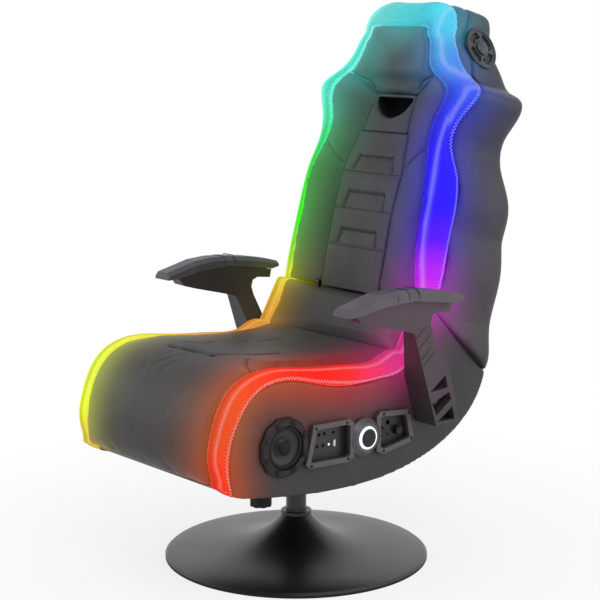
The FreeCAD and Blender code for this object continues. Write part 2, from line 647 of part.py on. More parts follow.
def back_leaf(x0, x1, grow):
    """Leaf from the pivot to the back's board, or the pocket for it when grown."""
    eye = rod_x(EYE_RADIUS + grow, x0 - grow, x1 + grow, PIVOT.y, PIVOT.z)
    corners = [(EYE_N, EYE_V - 2.5 - grow), (BOARD_N, 30 - grow), (BOARD_N, 84 + grow), (BOARD_N - 18, 84 + grow),
               (EYE_N, EYE_V + 4 + grow)]
    plate = polygon([V(0, n, v) for n, v in corners])
    return eye.fuse(on_back(across(plate, x0 - grow, x1 + grow)))


# Back

def on_back(shape):
    """Lean a shape drawn in the back's own frame and set it on the hip."""
    shape = shape.copy()
    shape.rotate(V(0, 0, 0), X_AXIS, -LEAN)
    shape.translate(V(0, HIP_Y, SEAT_Z + HIP_H))
    return shape


def foot_cutter():
    """What the back leaves free under the parting seam."""
    return seam_region(0, False).cut(rod_x(KNUCKLE, -FAR, FAR, PIVOT.y, PIVOT.z))


def crowned(start, end, rise):
    """An arc that swells towards the sitter, from start to end."""
    middle = (start + end) * 0.5 - V(0, rise, 0)
    return Part.Arc(start, middle, end).toShape()


def front_wire(i):
    """Outline of all the front padding at one height of the back."""
    v = STATIONS[i]
    rim = INNER_W[i] - SOFT_GAP
    seat_n = OUTER_N[i] + SOFT_GAP
    right = [V(OUTER_W[i], BOARD_N, v), V(OUTER_W[i], seat_n, v), V(rim, seat_n, v),
             V(rim, INNER_N[i], v), V(CENTRE_W[i], CENTRE_N[i], v)]
    left = [V(-p.x, p.y, p.z) for p in right]
    edges = [Part.makeLine(left[0], left[1]), Part.makeLine(left[1], left[2]), Part.makeLine(left[2], left[3]),
             crowned(left[3], left[4], BOLSTER_CROWN), Part.makeLine(left[4], right[4]),
             crowned(right[4], right[3], BOLSTER_CROWN), Part.makeLine(right[3], right[2]),
             Part.makeLine(right[2], right[1]), Part.makeLine(right[1], right[0]),
             Part.makeLine(right[0], left[0])]
    return Part.Wire(edges)


def rear_wire(i):
    """Outline of the back's rear shell at one height."""
    v = STATIONS[i]
    w, n = OUTER_W[i], REAR_N[i]
    front = BOARD_N + GAP
    side = n - REAR_ROUND
    turn = REAR_ROUND * (1 - math.sqrt(0.5))
    corner = [V(w, side, v), V(w - turn, n - turn, v), V(w - REAR_ROUND, n, v)]
    other = [V(-p.x, p.y, p.z) for p in corner]
    edges = [Part.makeLine(V(-w, front, v), V(w, front, v)), Part.makeLine(V(w, front, v), corner[0]),
             Part.Arc(*corner).toShape(), Part.makeLine(corner[2], other[2]), Part.Arc(*other[::-1]).toShape(),
             Part.makeLine(other[0], V(-w, front, v))]
    return Part.Wire(edges)


def in_back(points, low=-60.0, high=BOARD_N + 1):
    """A prism through the padding, from an outline seen from the front."""
    face = polygon([V(u, low, v) for u, v in points])
    return face.extrude(V(0, high - low, 0))


def board_shape(grow):
    """The plywood board of the back, or the pocket for it when grown."""
    edge = [V(OUTER_W[i] - BOARD_INSET + grow, 0, STATIONS[i]) for i in range(1, len(STATIONS) - 1)]
    other = [V(-p.x, 0, p.z) for p in edge]
    outline = Part.Face(Part.Wire([edge_through(edge), Part.makeLine(edge[-1], other[-1]),
                                   edge_through(other[::-1]), Part.makeLine(other[0], edge[0])]))
    outline.translate(V(0, BOARD_N + GAP, 0))
    board = outline.extrude(V(0, BOARD + grow, 0))
    return board.cut(block(-FAR, FAR, 0, FAR, -FAR, 8 - grow))


def back_strip_wire(inner, outer):
    """One cross-section of the back's light strip, given its edges as (u, n, v)."""
    a, b = V(*inner), V(*outer)
    return strip_wire(a, b, V(a.x, b.y, a.z), V(b.x, a.y, b.z), BACK_STRIP_ROUND)


def make_back_strips():
    wires = [back_strip_wire((INNER_W[i], INNER_N[i], STATIONS[i]), (OUTER_W[i], OUTER_N[i], STATIONS[i]))
             for i in range(len(STATIONS) - 2)]
    half = [back_strip_wire(inner, outer) for inner, outer in HEAD_CORNER]
    strip = on_back(Part.makeLoft(wires + half[:1], True, False)).cut(foot_cutter())
    other = [back_strip_wire((-a[0], a[1], a[2]), (-b[0], b[1], b[2])) for a, b in HEAD_CORNER[::-1]]
    head = on_back(Part.makeLoft(half + other, True, False))
    save("back_strip_left", strip)
    save("back_strip_right", mirrored(strip))
    save("head_strip", head)
    return strip, head


def strip_in_back(strip):
    """Take a strip back from its place on the chair to the back's own frame."""
    strip = strip.copy()
    strip.translate(V(0, -HIP_Y, -SEAT_Z - HIP_H))
    strip.rotate(V(0, 0, 0), X_AXIS, LEAN)
    return strip


def neck_recess():
    """The dark recess under the head pad: flat on top, round below."""
    arc = Part.Arc(V(-NECK_HALF + 4, 0, NECK_LINE - 6), V(0, 0, NECK_LINE - RECESS_HEIGHT),
                   V(NECK_HALF - 4, 0, NECK_LINE - 6)).toShape()
    line = Part.makeLine(V(NECK_HALF - 4, 0, NECK_LINE - 6), V(-NECK_HALF + 4, 0, NECK_LINE - 6))
    return Part.Face(Part.Wire([arc, line])).extrude(V(0, CENTRE_N[8] + RECESS_DEPTH, 0))


def head_speaker_place(shape):
    """Move a round piece, drawn about the X axis at the origin, to the side of the head."""
    shape = shape.copy()
    shape.rotate(V(0, 0, 0), Y_AXIS, -HEAD_SPEAKER_TILT)
    shape.translate(V(HEAD_SPEAKER_U, HEAD_SPEAKER_N, HEAD_SPEAKER_V))
    return on_back(shape)


def make_head_speakers():
    frame = Part.makeCylinder(HEAD_SPEAKER_RADIUS, HEAD_FRAME, V(0, 0, 0), X_AXIS)
    for i in range(4):
        slot = Part.makeCylinder(HEAD_SLOT_OUTER, HEAD_FRAME, V(0, 0, 0), X_AXIS, 66)
        slot = slot.cut(Part.makeCylinder(HEAD_SLOT_INNER, HEAD_FRAME, V(0, 0, 0), X_AXIS))
        slot.rotate(V(0, 0, 0), X_AXIS, 90 * i + 12)
        frame = frame.cut(slot)
    cone = Part.makeCone(HEAD_SLOT_OUTER, HEAD_SLOT_INNER, HEAD_CUP, V(-GAP, 0, 0), -X_AXIS)
    frame, cone = head_speaker_place(frame), head_speaker_place(cone)
    save("head_speaker_frames", frame, mirrored(frame))
    save("head_speaker_drivers", cone, mirrored(cone))


def head_speaker_hole():
    hole = Part.makeCylinder(HEAD_SLOT_OUTER + GAP, HEAD_CUP + HEAD_FRAME, V(-HEAD_CUP - 2 * GAP, 0, 0), X_AXIS)
    seat = Part.makeCylinder(HEAD_SPEAKER_RADIUS + GAP, HEAD_CUP, V(-GAP, 0, 0), X_AXIS)
    hole = head_speaker_place(hole.fuse(seat))
    return hole.fuse(mirrored(hole))


def both_ways(points):
    """An outline completed by its mirror image on the other side of the back."""
    return in_back(points + [(-u, v) for u, v in points[::-1]])


def panel_zone(grow):
    """Where the channelled centre panel lies in the padding."""
    return both_ways([(CENTRE_W[1] + grow, -FAR / 2), (CENTRE_W[1] + grow, PANEL_TAPER),
                      (CENTRE_W[6] - SOFT_GAP * 4 + grow, PANEL_TOP)])


def neck_zone(grow):
    return both_ways([(NECK_HALF + NECK_FLARE + grow, PANEL_TOP - grow), (NECK_HALF + grow, NECK_LINE)])


def head_zone(grow):
    return both_ways([(NECK_HALF + grow / 2, NECK_LINE + SOFT_GAP / 2 - grow / 2),
                      (HEAD_SEAM[0], HEAD_SEAM[1] - grow), (FAR, HEAD_SEAM[1] - grow), (FAR, FAR * 2)])


def make_back():
    count = range(len(STATIONS))
    foot = foot_cutter()
    front = Part.makeLoft([front_wire(i) for i in count], True, False)
    front = front.cut(block(-FAR, FAR, -FAR, OUTER_N[-1] + SOFT_GAP, HEAD_FRONT_TOP - SOFT_GAP, FAR * 2))
    strip, head_strip = make_back_strips()
    front = front.cut(strip_in_back(strip)).cut(strip_in_back(mirrored(strip))).cut(strip_in_back(head_strip))
    centre = front.common(panel_zone(-SOFT_GAP / 2))
    neck = front.common(neck_zone(-SOFT_GAP / 2)).cut(neck_recess())
    head = front.common(head_zone(0.0))
    rest = front.cut(panel_zone(SOFT_GAP / 2)).cut(neck_zone(SOFT_GAP / 2)).cut(head_zone(SOFT_GAP))
    for v in CHANNELS:
        centre = centre.cut(block(-FAR, FAR, -FAR, CENTRE_N[2] + CHANNEL_DEPTH, v - 2, v + 2))
    hinge_slot = block(0, HINGE_X + LEAF / 2 + GAP, -FAR, EYE_N + KNUCKLE + 2, -FAR, EYE_V + KNUCKLE + 2)
    bolster = on_back(rest.common(block(0, FAR, -FAR, FAR, -FAR, FAR * 2)).cut(hinge_slot)).cut(foot)
    inner = HINGE_X + LEAF / 2 + GAP
    bolster = bolster.cut(back_leaf(inner, inner + LEAF + 1, SOFT_GAP))
    rear = Part.makeLoft([rear_wire(i) for i in count], True, False)
    rear = rear.cut(board_shape(GAP))
    rear = rear.cut(block(-CAVITY_HALF, CAVITY_HALF, BOARD_N, CAVITY_N, CAVITY_LOW, CAVITY_HIGH))
    holes = head_speaker_hole()
    save("back_centre_pad", on_back(centre).cut(foot))
    save("neck_pad", on_back(neck))
    save("head_pad", on_back(head).cut(holes))
    save("back_bolster_left", bolster)
    save("back_bolster_right", mirrored(bolster))
    save("back_rear_shell", on_back(rear).cut(foot).cut(holes))
    save("back_board", on_back(board_shape(0.0)).cut(foot).cut(holes))
    make_head_speakers()
    make_subwoofer()


def make_subwoofer():
    """Bass driver and its box, behind the board of the back."""
    front = BOARD_N + BOARD + 2 * GAP
    box = block(-WOOFER_BOX, WOOFER_BOX, front, front + WOOFER_DEPTH, WOOFER_V - WOOFER_BOX, WOOFER_V + WOOFER_BOX)
    hollow = block(-WOOFER_BOX + PANEL, WOOFER_BOX - PANEL, front, front + WOOFER_DEPTH - PANEL,
                   WOOFER_V - WOOFER_BOX + PANEL, WOOFER_V + WOOFER_BOX - PANEL)
    cone = Part.makeCone(WOOFER_RADIUS, WOOFER_RADIUS / 2, WOOFER_DEPTH / 2, V(0, front, WOOFER_V), Y_AXIS)
    save("subwoofer", on_back(box.cut(hollow)), on_back(cone))


# Loudspeakers of the seat

def spin_x(points, y, h):
    """Turn a closed outline of (x, radius) points about an axis across the chair."""
    centre = V(0, y, SEAT_Z + h)
    return polygon([centre + V(x, 0, r) for x, r in points]).revolve(centre, X_AXIS, 360)


def make_seat_speakers():
    centre = V(SEAT_HALF, SPEAKER_Y, SEAT_Z + SPEAKER_H)
    corners = []
    for i in range(SPEAKER_SIDES):
        turn = 2 * math.pi * (i + 0.5) / SPEAKER_SIDES
        corners.append(centre + V(0, SPEAKER_RADIUS * math.cos(turn), SPEAKER_RADIUS * math.sin(turn)))
    frame = polygon(corners).extrude(V(FRAME_PROUD, 0, 0))
    face = SEAT_HALF + FRAME_PROUD
    chamfer = spin_x([(SEAT_HALF - 1, SPEAKER_RADIUS + 12), (SEAT_HALF - 1, SPEAKER_RADIUS + 4),
                      (face, SPEAKER_RADIUS - 5), (face + 1, SPEAKER_RADIUS + 12)], SPEAKER_Y, SPEAKER_H)
    frame = frame.cut(chamfer)
    end = SEAT_HALF - BASKET_DEPTH
    sleeve = rod_x(CONE_RADIUS + BASKET, end, SEAT_HALF, SPEAKER_Y, centre.z)
    bore = rod_x(CONE_RADIUS, end + BASKET, SEAT_HALF + FRAME_PROUD, SPEAKER_Y, centre.z)
    frame = frame.fuse(sleeve).cut(bore)
    frame = frame.cut(rod_x(DUST_CAP + GAP, end, SEAT_HALF, SPEAKER_Y, centre.z)).removeSplitter()
    rim = CONE_RADIUS - GAP
    cone = spin_x([(SEAT_HALF + 4, rim), (SEAT_HALF + 6, rim), (SEAT_HALF - 4, DUST_CAP), (SEAT_HALF + 2, 0),
                   (SEAT_HALF - 8, 0), (SEAT_HALF - 8, DUST_CAP)], SPEAKER_Y, SPEAKER_H)
    magnet = rod_x(MAGNET_RADIUS, end - GAP - MAGNET_DEPTH, end - GAP, SPEAKER_Y, centre.z)
    coil = rod_x(DUST_CAP, end - GAP, SEAT_HALF - 8 - GAP, SPEAKER_Y, centre.z)
    motor = magnet.fuse(coil).removeSplitter()
    save("seat_speaker_frames", frame, mirrored(frame))
    save("seat_speaker_cones", cone, mirrored(cone))
    save("seat_speaker_motors", motor, mirrored(motor))


# Control pods on the left side

def make_pod(name, points, floor_holes, housing):
    face = pod_face(points)
    outer = across(face, SEAT_HALF, SEAT_HALF + FRAME_PROUD)
    box = across(pod_face(points, POD_WALL), SEAT_HALF - POD_BOX, SEAT_HALF)
    recess = across(pod_face(points, POD_WALL + POD_LIP), SEAT_HALF + FRAME_PROUD - POD_DEPTH,
                    SEAT_HALF + FRAME_PROUD)
    pod = outer.fuse(box).cut(recess).cut(housing)
    for y, h, radius in floor_holes:
        pod = pod.cut(rod_x(radius, SEAT_HALF - POD_BOX + 4, SEAT_HALF, y, SEAT_Z + h))
    save(name, pod.removeSplitter())


def make_controls():
    floor = SEAT_HALF + FRAME_PROUD - POD_DEPTH
    face = SEAT_HALF + HOUSING_PROUD
    housing = spin_x([(SEAT_HALF, 0), (SEAT_HALF, DIAL_HOUSING_RADIUS), (SEAT_HALF + 7, DIAL_HOUSING_RADIUS),
                      (face, DIAL_RADIUS + 6), (face, DIAL_RADIUS + GAP), (face - DIAL_SUNK, DIAL_RADIUS + GAP),
                      (face - DIAL_SUNK, SPINDLE + RUNNING), (SEAT_HALF + 2, SPINDLE + RUNNING), (SEAT_HALF + 2, 0)],
                     DIAL_Y, DIAL_H)
    room = spin_x([(SEAT_HALF - 1, 0), (SEAT_HALF - 1, DIAL_HOUSING_RADIUS + GAP),
                   (SEAT_HALF + 8, DIAL_HOUSING_RADIUS + GAP), (face + 1, DIAL_RADIUS + 8), (face + 1, 0)],
                  DIAL_Y, DIAL_H)
    front = face + DIAL_PROUD
    dial = spin_x([(face - DIAL_SUNK + GAP, SPINDLE), (face - DIAL_SUNK + GAP, DIAL_RADIUS),
                   (front - 2, DIAL_RADIUS), (front, DIAL_RADIUS - 2), (front, BUTTON_RADIUS + GAP),
                   (front - BUTTON_SUNK, BUTTON_RADIUS + GAP), (front - BUTTON_SUNK, 0),
                   (SEAT_HALF + 3, 0), (SEAT_HALF + 3, SPINDLE)], DIAL_Y, DIAL_H)
    button = rod_x(BUTTON_RADIUS, front - BUTTON_SUNK + PRESS, front + PRESS / 2, DIAL_Y, SEAT_Z + DIAL_H)
    save("dial_housing", housing)
    save("control_dial", dial)
    save("dial_button", button)
    sockets = [(y, h, SOCKET_RADIUS) for y, h in SOCKET_PLACES]
    switch_hole = (SWITCH_PLACE[0], SWITCH_PLACE[1], POST_HOLE)
    make_pod("socket_pod", SOCKET_POD, sockets + [switch_hole, (LAMP_PLACE[0], LAMP_PLACE[1], LAMP_RADIUS)], room)
    shafts = [(y, h, POST_HOLE) for y, h in (VOLUME_PLACE, BASS_PLACE, PAIR_PLACE)]
    make_pod("knob_pod", KNOB_POD, shafts + [(INLET_PLACE[0], INLET_PLACE[1], INLET_RADIUS)], room)
    for name, place, radius in (("volume_knob", VOLUME_PLACE, VOLUME_RADIUS), ("bass_knob", BASS_PLACE, BASS_RADIUS)):
        cap = rod_x(radius, floor + GAP, floor + KNOB_STAND, place[0], SEAT_Z + place[1])
        shaft = rod_x(POST_HOLE - RUNNING, SEAT_HALF - POD_BOX + 4 + GAP, floor + GAP, place[0], SEAT_Z + place[1])
        mark = block(floor + KNOB_STAND - 1, floor + KNOB_STAND, place[0] - 0.6, place[0] + 0.6,
                     SEAT_Z + place[1] + radius / 2, SEAT_Z + place[1] + radius)
        save(name, cap.fuse(shaft).cut(mark).removeSplitter())
    pair = rod_x(POST_HOLE - RUNNING, floor - PAIR_LENGTH, floor + PRESS, PAIR_PLACE[0], SEAT_Z + PAIR_PLACE[1])
    lamp = rod_x(LAMP_RADIUS - GAP / 2, floor - PAIR_LENGTH, floor + GAP, LAMP_PLACE[0], SEAT_Z + LAMP_PLACE[1])
    y, z = SWITCH_PLACE[0], SEAT_Z + SWITCH_PLACE[1]
    bar = block(floor + GAP, floor + SWITCH_STAND, y - SWITCH_WIDTH / 2, y + SWITCH_WIDTH / 2,
                z - SWITCH_HEIGHT / 2, z + SWITCH_HEIGHT / 2)
    stem = rod_x(POST_HOLE - SWITCH_TRAVEL, floor - PAIR_LENGTH, floor + GAP, y, z)
    save("pair_button", pair)
    save("power_lamp", lamp)
    save("power_switch", bar.fuse(stem).removeSplitter())
    box = block(INNER_X - GAP - AMP_DEPTH, INNER_X - GAP, AMP_FRONT, AMP_REAR, SEAT_Z + AMP_LOW, SEAT_Z + AMP_HIGH)
    hollow = block(INNER_X - AMP_DEPTH + 2, INNER_X - GAP - 2, AMP_FRONT + 2, AMP_REAR - 2,
                   SEAT_Z + AMP_LOW + 2, SEAT_Z + AMP_HIGH - 2)
    save("amplifier_box", box.cut(hollow))


# Arms

def arm_pad():
    """Soft top of one arm, chamfered along both sides."""
    sides = []
    for x, drop in ((PAD_INNER, ARM_CHAMFER), (PAD_INNER + ARM_CHAMFER, 0),
                    (PAD_OUTER - ARM_CHAMFER, 0), (PAD_OUTER, ARM_CHAMFER)):
        top = [(y, h - min(drop, h - PAD_REAR_H)) for y, h in PAD_TOP]
        points = [seat_point(p, x) for p in top + PAD_UNDER]
        sides.append(Part.makePolygon(points + [points[0]]))
    return Part.makeLoft(sides, True, True)


def arm_body():
    outline = polygon([seat_point(p) for p in ARM_BODY])
    body = across(outline, ARM_INNER, ARM_OUTER)
    foot = across(outline, SEAT_HALF + GAP, ARM_INNER + 1)
    inner = SEAT_HALF + GAP - 1
    wedge = polygon([V(inner, -FAR, SEAT_Z + FOOT_TOP_H), V(ARM_INNER, -FAR, SEAT_Z + ARM_SPLAY_H),
                     V(ARM_INNER, -FAR, SEAT_Z + FAR * 2), V(inner, -FAR, SEAT_Z + FAR * 2)])
    foot = foot.cut(wedge.extrude(V(0, 2 * FAR, 0)))
    foot = foot.cut(block(0, ARM_INNER, -FAR, FAR, SEAT_Z + ARM_SPLAY_H, FAR * 2))
    body = body.fuse(foot).removeSplitter()
    for points in TRUSS:
        pocket = polygon([seat_point(p) for p in points])
        body = body.cut(across(pocket, ARM_OUTER - TRUSS_DEPTH, ARM_OUTER + 1))
    for hole in arm_bolt_holes(SEAT_HALF, ARM_OUTER):
        body = body.cut(hole)
    return body


def make_arms():
    pad = arm_pad()
    body = arm_body().cut(pad)
    floor = ARM_OUTER - TRUSS_DEPTH
    bolts = []
    for y, h in ARM_BOLT_PLACES:
        shaft = rod_x(ARM_BOLT, INNER_X, floor, y, SEAT_Z + h)
        bolts.append(shaft.fuse(rod_x(ARM_BOLT_HEAD, floor, floor + ARM_BOLT, y, SEAT_Z + h)))
    save("arm_body_left", body)
    save("arm_body_right", mirrored(body))
    save("arm_pad_left", pad)
    save("arm_pad_right", mirrored(pad))
    save("arm_bolts", *bolts, *[mirrored(bolt) for bolt in bolts])


def main():
    os.makedirs("parts", exist_ok=True)
    make_base()
    make_swivel()
    make_tension()
    make_spring()
    make_upper_bracket()
    make_seat_sides()
    make_seat_core()
    make_seat_speakers()
    make_controls()
    make_arms()
    make_back()


main()
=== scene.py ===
# %% [markdown]
# # A gaming rocker chair with lit edges
#
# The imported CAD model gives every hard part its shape, place and motion. This notebook dresses it:
# padded faux leather, glowing mesh strips with zig-zag stitching, moulded plastic and a powder
# coated pedestal. All lengths are in metres, in the CAD model's own frame.

# %%
# Load the frame
import bpy
import bmesh
import math
import numpy as np
from mathutils import Matrix, Vector
from mathutils.bvhtree import BVHTree


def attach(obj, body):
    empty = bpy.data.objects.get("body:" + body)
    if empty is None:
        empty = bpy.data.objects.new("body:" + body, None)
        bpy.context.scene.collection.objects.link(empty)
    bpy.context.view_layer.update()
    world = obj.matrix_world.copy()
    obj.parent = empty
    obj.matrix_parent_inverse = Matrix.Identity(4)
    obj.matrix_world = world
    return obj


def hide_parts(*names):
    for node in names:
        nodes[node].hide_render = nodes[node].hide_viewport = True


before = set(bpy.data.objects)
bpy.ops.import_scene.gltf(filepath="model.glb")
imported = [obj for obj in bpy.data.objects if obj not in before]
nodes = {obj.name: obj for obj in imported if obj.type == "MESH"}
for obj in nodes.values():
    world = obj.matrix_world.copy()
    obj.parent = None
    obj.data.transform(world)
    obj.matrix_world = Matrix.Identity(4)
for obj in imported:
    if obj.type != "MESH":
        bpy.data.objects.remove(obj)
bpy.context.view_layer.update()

scene = bpy.context.scene

print("CAD nodes:", len(nodes))

# %% [markdown]
# ## Places
#
# The back is drawn in its own leaning frame: u across, n rearwards and v up from the hip.

# %%
# Frames and helpers for places
CHAIR_Y = -0.030
HIP = Vector((0.0, 0.135 + CHAIR_Y, 0.505))
LEAN = math.radians(15)
SEAT_Z = 0.200


def on_back(u, n, v):
    """A point of the back's frame, in millimetres, as a place in the row frame."""
    u, n, v = u / 1000, n / 1000, v / 1000
    along = Vector((0, math.sin(LEAN), math.cos(LEAN)))
    out = Vector((0, math.cos(LEAN), -math.sin(LEAN)))
    return HIP + Vector((u, 0, 0)) + along * v + out * n


def on_seat(x, y, h):
    """A point of the seat, in millimetres from the pedestal's axis and above the seat's underside."""
    return Vector((x / 1000, y / 1000 + CHAIR_Y, SEAT_Z + h / 1000))


print("Lean of the back:", round(math.degrees(LEAN), 1), "degrees")

# %% [markdown]
# ## Camera
#
# The camera stands where the photograph was taken from: in front and to the sitter's left, a
# little above the arms, with a long lens.

# %%
# Camera at the photograph's place
camera_data = bpy.data.cameras.new("camera")
camera_data.lens = 97.262
camera_data.sensor_width = 36
camera_data.clip_end = 50
camera = bpy.data.objects.new("camera", camera_data)
scene.collection.objects.link(camera)
camera.location = (2.40045, -2.07474, 1.08344)
camera.rotation_euler = (math.radians(79.882), 0, math.radians(49.4356))
scene.camera = camera
bpy.context.view_layer.update()

print("Lens:", round(scene.camera.data.lens, 1), "mm")

# %% [markdown]
# ## Colours of the light
#
# Two runs of light go round the chair, one on each side. Each stop is a place and the colour there.

# %%
# Stops of the light's colour, from the head down to the front of the seat
def rgb(hex_colour):
    """sRGB hex to linear."""
    values = [int(hex_colour[i:i + 2], 16) / 255 for i in (1, 3, 5)]
    return tuple(v / 12.92 if v <= 0.04045 else ((v + 0.055) / 1.055) ** 2.4 for v in values)


LEFT_STOPS = [  # the sitter's left, +X
    (on_back(0, 16, 600), "#5ff2f6"), (on_back(60, 16, 600), "#52e6f4"), (on_back(98, 16, 575), "#4fc6ea"),
    (on_back(110, 16, 520), "#4a9cdf"), (on_back(160, 14, 482), "#467fe6"), (on_back(196, 12, 448), "#3657ea"),
    (on_back(188, 10, 410), "#2f40ec"), (on_back(176, 6, 375), "#2e2eee"), (on_back(170, 5, 330), "#2a1cf0"),
    (on_back(183, 10, 270), "#2611f4"), (on_back(191, 12, 210), "#2a0ff5"), (on_back(195, 12, 150), "#560ff6"),
    (on_back(204, 14, 80), "#b822f2"), (on_back(209, 12, 30), "#e836ea"), (on_seat(210, 150, 320), "#dc32d0"),
    (on_seat(210, 112, 272), "#d8359f"), (on_seat(210, 62, 220), "#e0358a"), (on_seat(210, 0, 214), "#ee3364"),
    (on_seat(210, -60, 214), "#f42728"), (on_seat(210, -130, 222), "#fa1e07"), (on_seat(210, -200, 235), "#f2240a"),
    (on_seat(210, -270, 238), "#f33c10"), (on_seat(210, -330, 205), "#e94f1e"),
    (on_seat(210, -355, 140), "#e64d20"),
    (on_seat(210, -358, 80), "#f23814"), (on_seat(210, -350, 40), "#ee3014")]
RIGHT_STOPS = [  # the sitter's right, -X
    (on_back(0, 16, 600), "#5ff2f6"), (on_back(-60, 16, 600), "#78f6f4"), (on_back(-98, 16, 575), "#80f4ee"),
    (on_back(-110, 16, 520), "#68f3e2"), (on_back(-160, 14, 482), "#5cf4da"), (on_back(-196, 12, 448), "#58f4d6"),
    (on_back(-188, 10, 410), "#60f0d2"), (on_back(-176, 6, 375), "#52f0b8"), (on_back(-170, 5, 330), "#42e684"),
    (on_back(-183, 10, 270), "#2fe442"), (on_back(-191, 12, 210), "#28ef19"), (on_back(-195, 12, 150), "#46f428"),
    (on_back(-204, 14, 80), "#9dee27"), (on_back(-209, 12, 30), "#e2f338"), (on_seat(-210, 150, 320), "#ecd93a"),
    (on_seat(-210, 112, 272), "#e8b236"), (on_seat(-210, 62, 220), "#e29436"), (on_seat(-210, 0, 214), "#e69a34"),
    (on_seat(-210, -130, 222), "#f0b030"), (on_seat(-210, -200, 235), "#f2d838"),
    (on_seat(-210, -270, 238), "#eef240"),
    (on_seat(-210, -330, 205), "#e9f941"), (on_seat(-210, -355, 140), "#ecfb32"),
    (on_seat(-210, -358, 80), "#ead931"),
    (on_seat(-210, -350, 40), "#e1b92a")]
STRIP_REACH = 0.020     # from a strip's middle line to its edge


def light_at(points):
    """Colour of the lights, the nearest ones above all, and the distance to the nearest strip."""
    best = np.full(len(points), 9.0)
    colour = np.zeros((len(points), 3))
    total = np.zeros((len(points), 1))
    for stops in (LEFT_STOPS, RIGHT_STOPS):
        places = np.array([tuple(place) for place, _ in stops])
        tints = np.array([rgb(tint) for _, tint in stops])
        for a, b, tint_a, tint_b in zip(places, places[1:], tints, tints[1:]):
            run = b - a
            share = np.clip((points - a) @ run / (run @ run), 0, 1)[:, None]
            distance = np.linalg.norm(points - (a + share * run), axis=1)
            best = np.minimum(best, distance)
            weight = (distance + 0.004)[:, None] ** -6
            colour += weight * (tint_a + share * (tint_b - tint_a))
            total += weight
    return colour / total, np.maximum(best - STRIP_REACH, 0)


FRONT_WARMTH = 0.08  # Green that is added to the red light at the front of the seat
LIGHT_DROWN = 3.0  # How much of the other colours the coloured light drowns on dark leather


def add_glow(piece, strength, reach):
    """Store the light on each point of a piece as Glow, and as a second attribute the colours that it drowns, which
    are painted out of the leather's base colour.
    """
    mesh = piece.data
    points = np.empty(len(mesh.vertices) * 3)
    mesh.vertices.foreach_get("co", points)
    points = points.reshape(-1, 3)
    colour, distance = light_at(points)
    # Orange lamps behind the front of the left strip throw a warmer light than the mesh shows
    colour[:, 1] += FRONT_WARMTH * np.clip((-0.10 - points[:, 1]) / 0.15, 0, 1) * (points[:, 0] > 0)
    colour *= (strength * np.exp(-(distance / reach) ** 1.5))[:, None]
    values = np.concatenate([colour, np.ones((len(colour), 1))], axis=1)
    layer = mesh.color_attributes.new("Glow", "FLOAT_COLOR", "POINT")
    layer.data.foreach_set("color", values.ravel())
    light_drowned = np.clip(LIGHT_DROWN * (colour.max(1, keepdims=True) - colour), 0, 0.85)
    values = np.concatenate([light_drowned, np.ones((len(colour), 1))], axis=1)
    mesh.color_attributes.new("LightDrowned", "FLOAT_COLOR", "POINT").data.foreach_set("color", values.ravel())


# Painted highlight along a strip's ridge, and painted shade on its faces that don't turn to the side
RIDGE_TURN, RIDGE_WIDTH, RIDGE_HIGHLIGHT = math.radians(33), math.radians(6), 0.13
INNER_TURN, INNER_SHADE = math.radians(20), 0.35


def light_strip(piece):
    """Store a strip's own light, with a painted highlight along the ridge where its face turns to the side and
    painted shade on the faces that turn less.
    """
    mesh = piece.data
    points, normals = np.empty(len(mesh.vertices) * 3), np.empty(len(mesh.vertices) * 3)
    mesh.vertices.foreach_get("co", points)
    mesh.vertices.foreach_get("normal", normals)
    colour, _ = light_at(points.reshape(-1, 3))
    normals = normals.reshape(-1, 3)
    turn = np.arctan2(np.abs(normals[:, 0]), np.hypot(normals[:, 1], normals[:, 2]))
    pale = RIDGE_HIGHLIGHT * np.exp(-((turn - RIDGE_TURN) / RIDGE_WIDTH) ** 2)[:, None]
    shade = 1 - INNER_SHADE * np.clip((INNER_TURN - turn) / INNER_TURN, 0, 1)[:, None]
    values = np.concatenate([(colour + (1 - colour) * pale) * shade, np.ones((len(colour), 1))], axis=1)
    mesh.color_attributes.new("Glow", "FLOAT_COLOR", "POINT").data.foreach_set("color", values.ravel())


print("Stops of light:", len(LEFT_STOPS), "left,", len(RIGHT_STOPS), "right")

# %% [markdown]
# ## Materials

# %%
# Small functions that build node trees
def new_material(name, base, roughness, metallic=0.0, specular=0.5):
    """A Principled material with one base colour."""
    material = bpy.data.materials.new(name)
    material.use_nodes = True
    shader = material.node_tree.nodes["Principled BSDF"]
    shader.inputs["Base Color"].default_value = (*rgb(base), 1)
    shader.inputs["Roughness"].default_value = roughness
    shader.inputs["Metallic"].default_value = metallic
    shader.inputs["Specular IOR Level"].default_value = specular
    return material


def add_node(material, kind, links=None, **values):
    """Add a node, set its inputs by name and link other sockets into it."""
    node = material.node_tree.nodes.new(kind)
    for key, value in values.items():
        if hasattr(node, key):
            setattr(node, key, value)
        else:
            node.inputs[key.replace("_", " ")].default_value = value
    for key, socket in (links or {}).items():
        material.node_tree.links.new(socket, node.inputs[key])
    return node


def shader_of(material):
    return material.node_tree.nodes["Principled BSDF"]


def object_place(material, scale=(1, 1, 1)):
    """Object coordinates, scaled, as a socket."""
    place = add_node(material, "ShaderNodeTexCoord").outputs["Object"]
    return add_node(material, "ShaderNodeMapping", {"Vector": place}, Scale=scale).outputs["Vector"]


def vary(material, dark, light, scale, low=0.35, high=0.65, detail=4.0):
    """Slow variation of the base colour between two tones."""
    noise = add_node(material, "ShaderNodeTexNoise", {"Vector": object_place(material)}, Scale=scale, Detail=detail)
    ramp = add_node(material, "ShaderNodeValToRGB", {"Fac": noise.outputs["Fac"]})
    ramp.color_ramp.elements[0].position = low
    ramp.color_ramp.elements[0].color = (*rgb(dark), 1)
    ramp.color_ramp.elements[1].position = high
    ramp.color_ramp.elements[1].color = (*rgb(light), 1)
    material.node_tree.links.new(ramp.outputs["Color"], shader_of(material).inputs["Base Color"])
    return ramp.outputs["Color"]


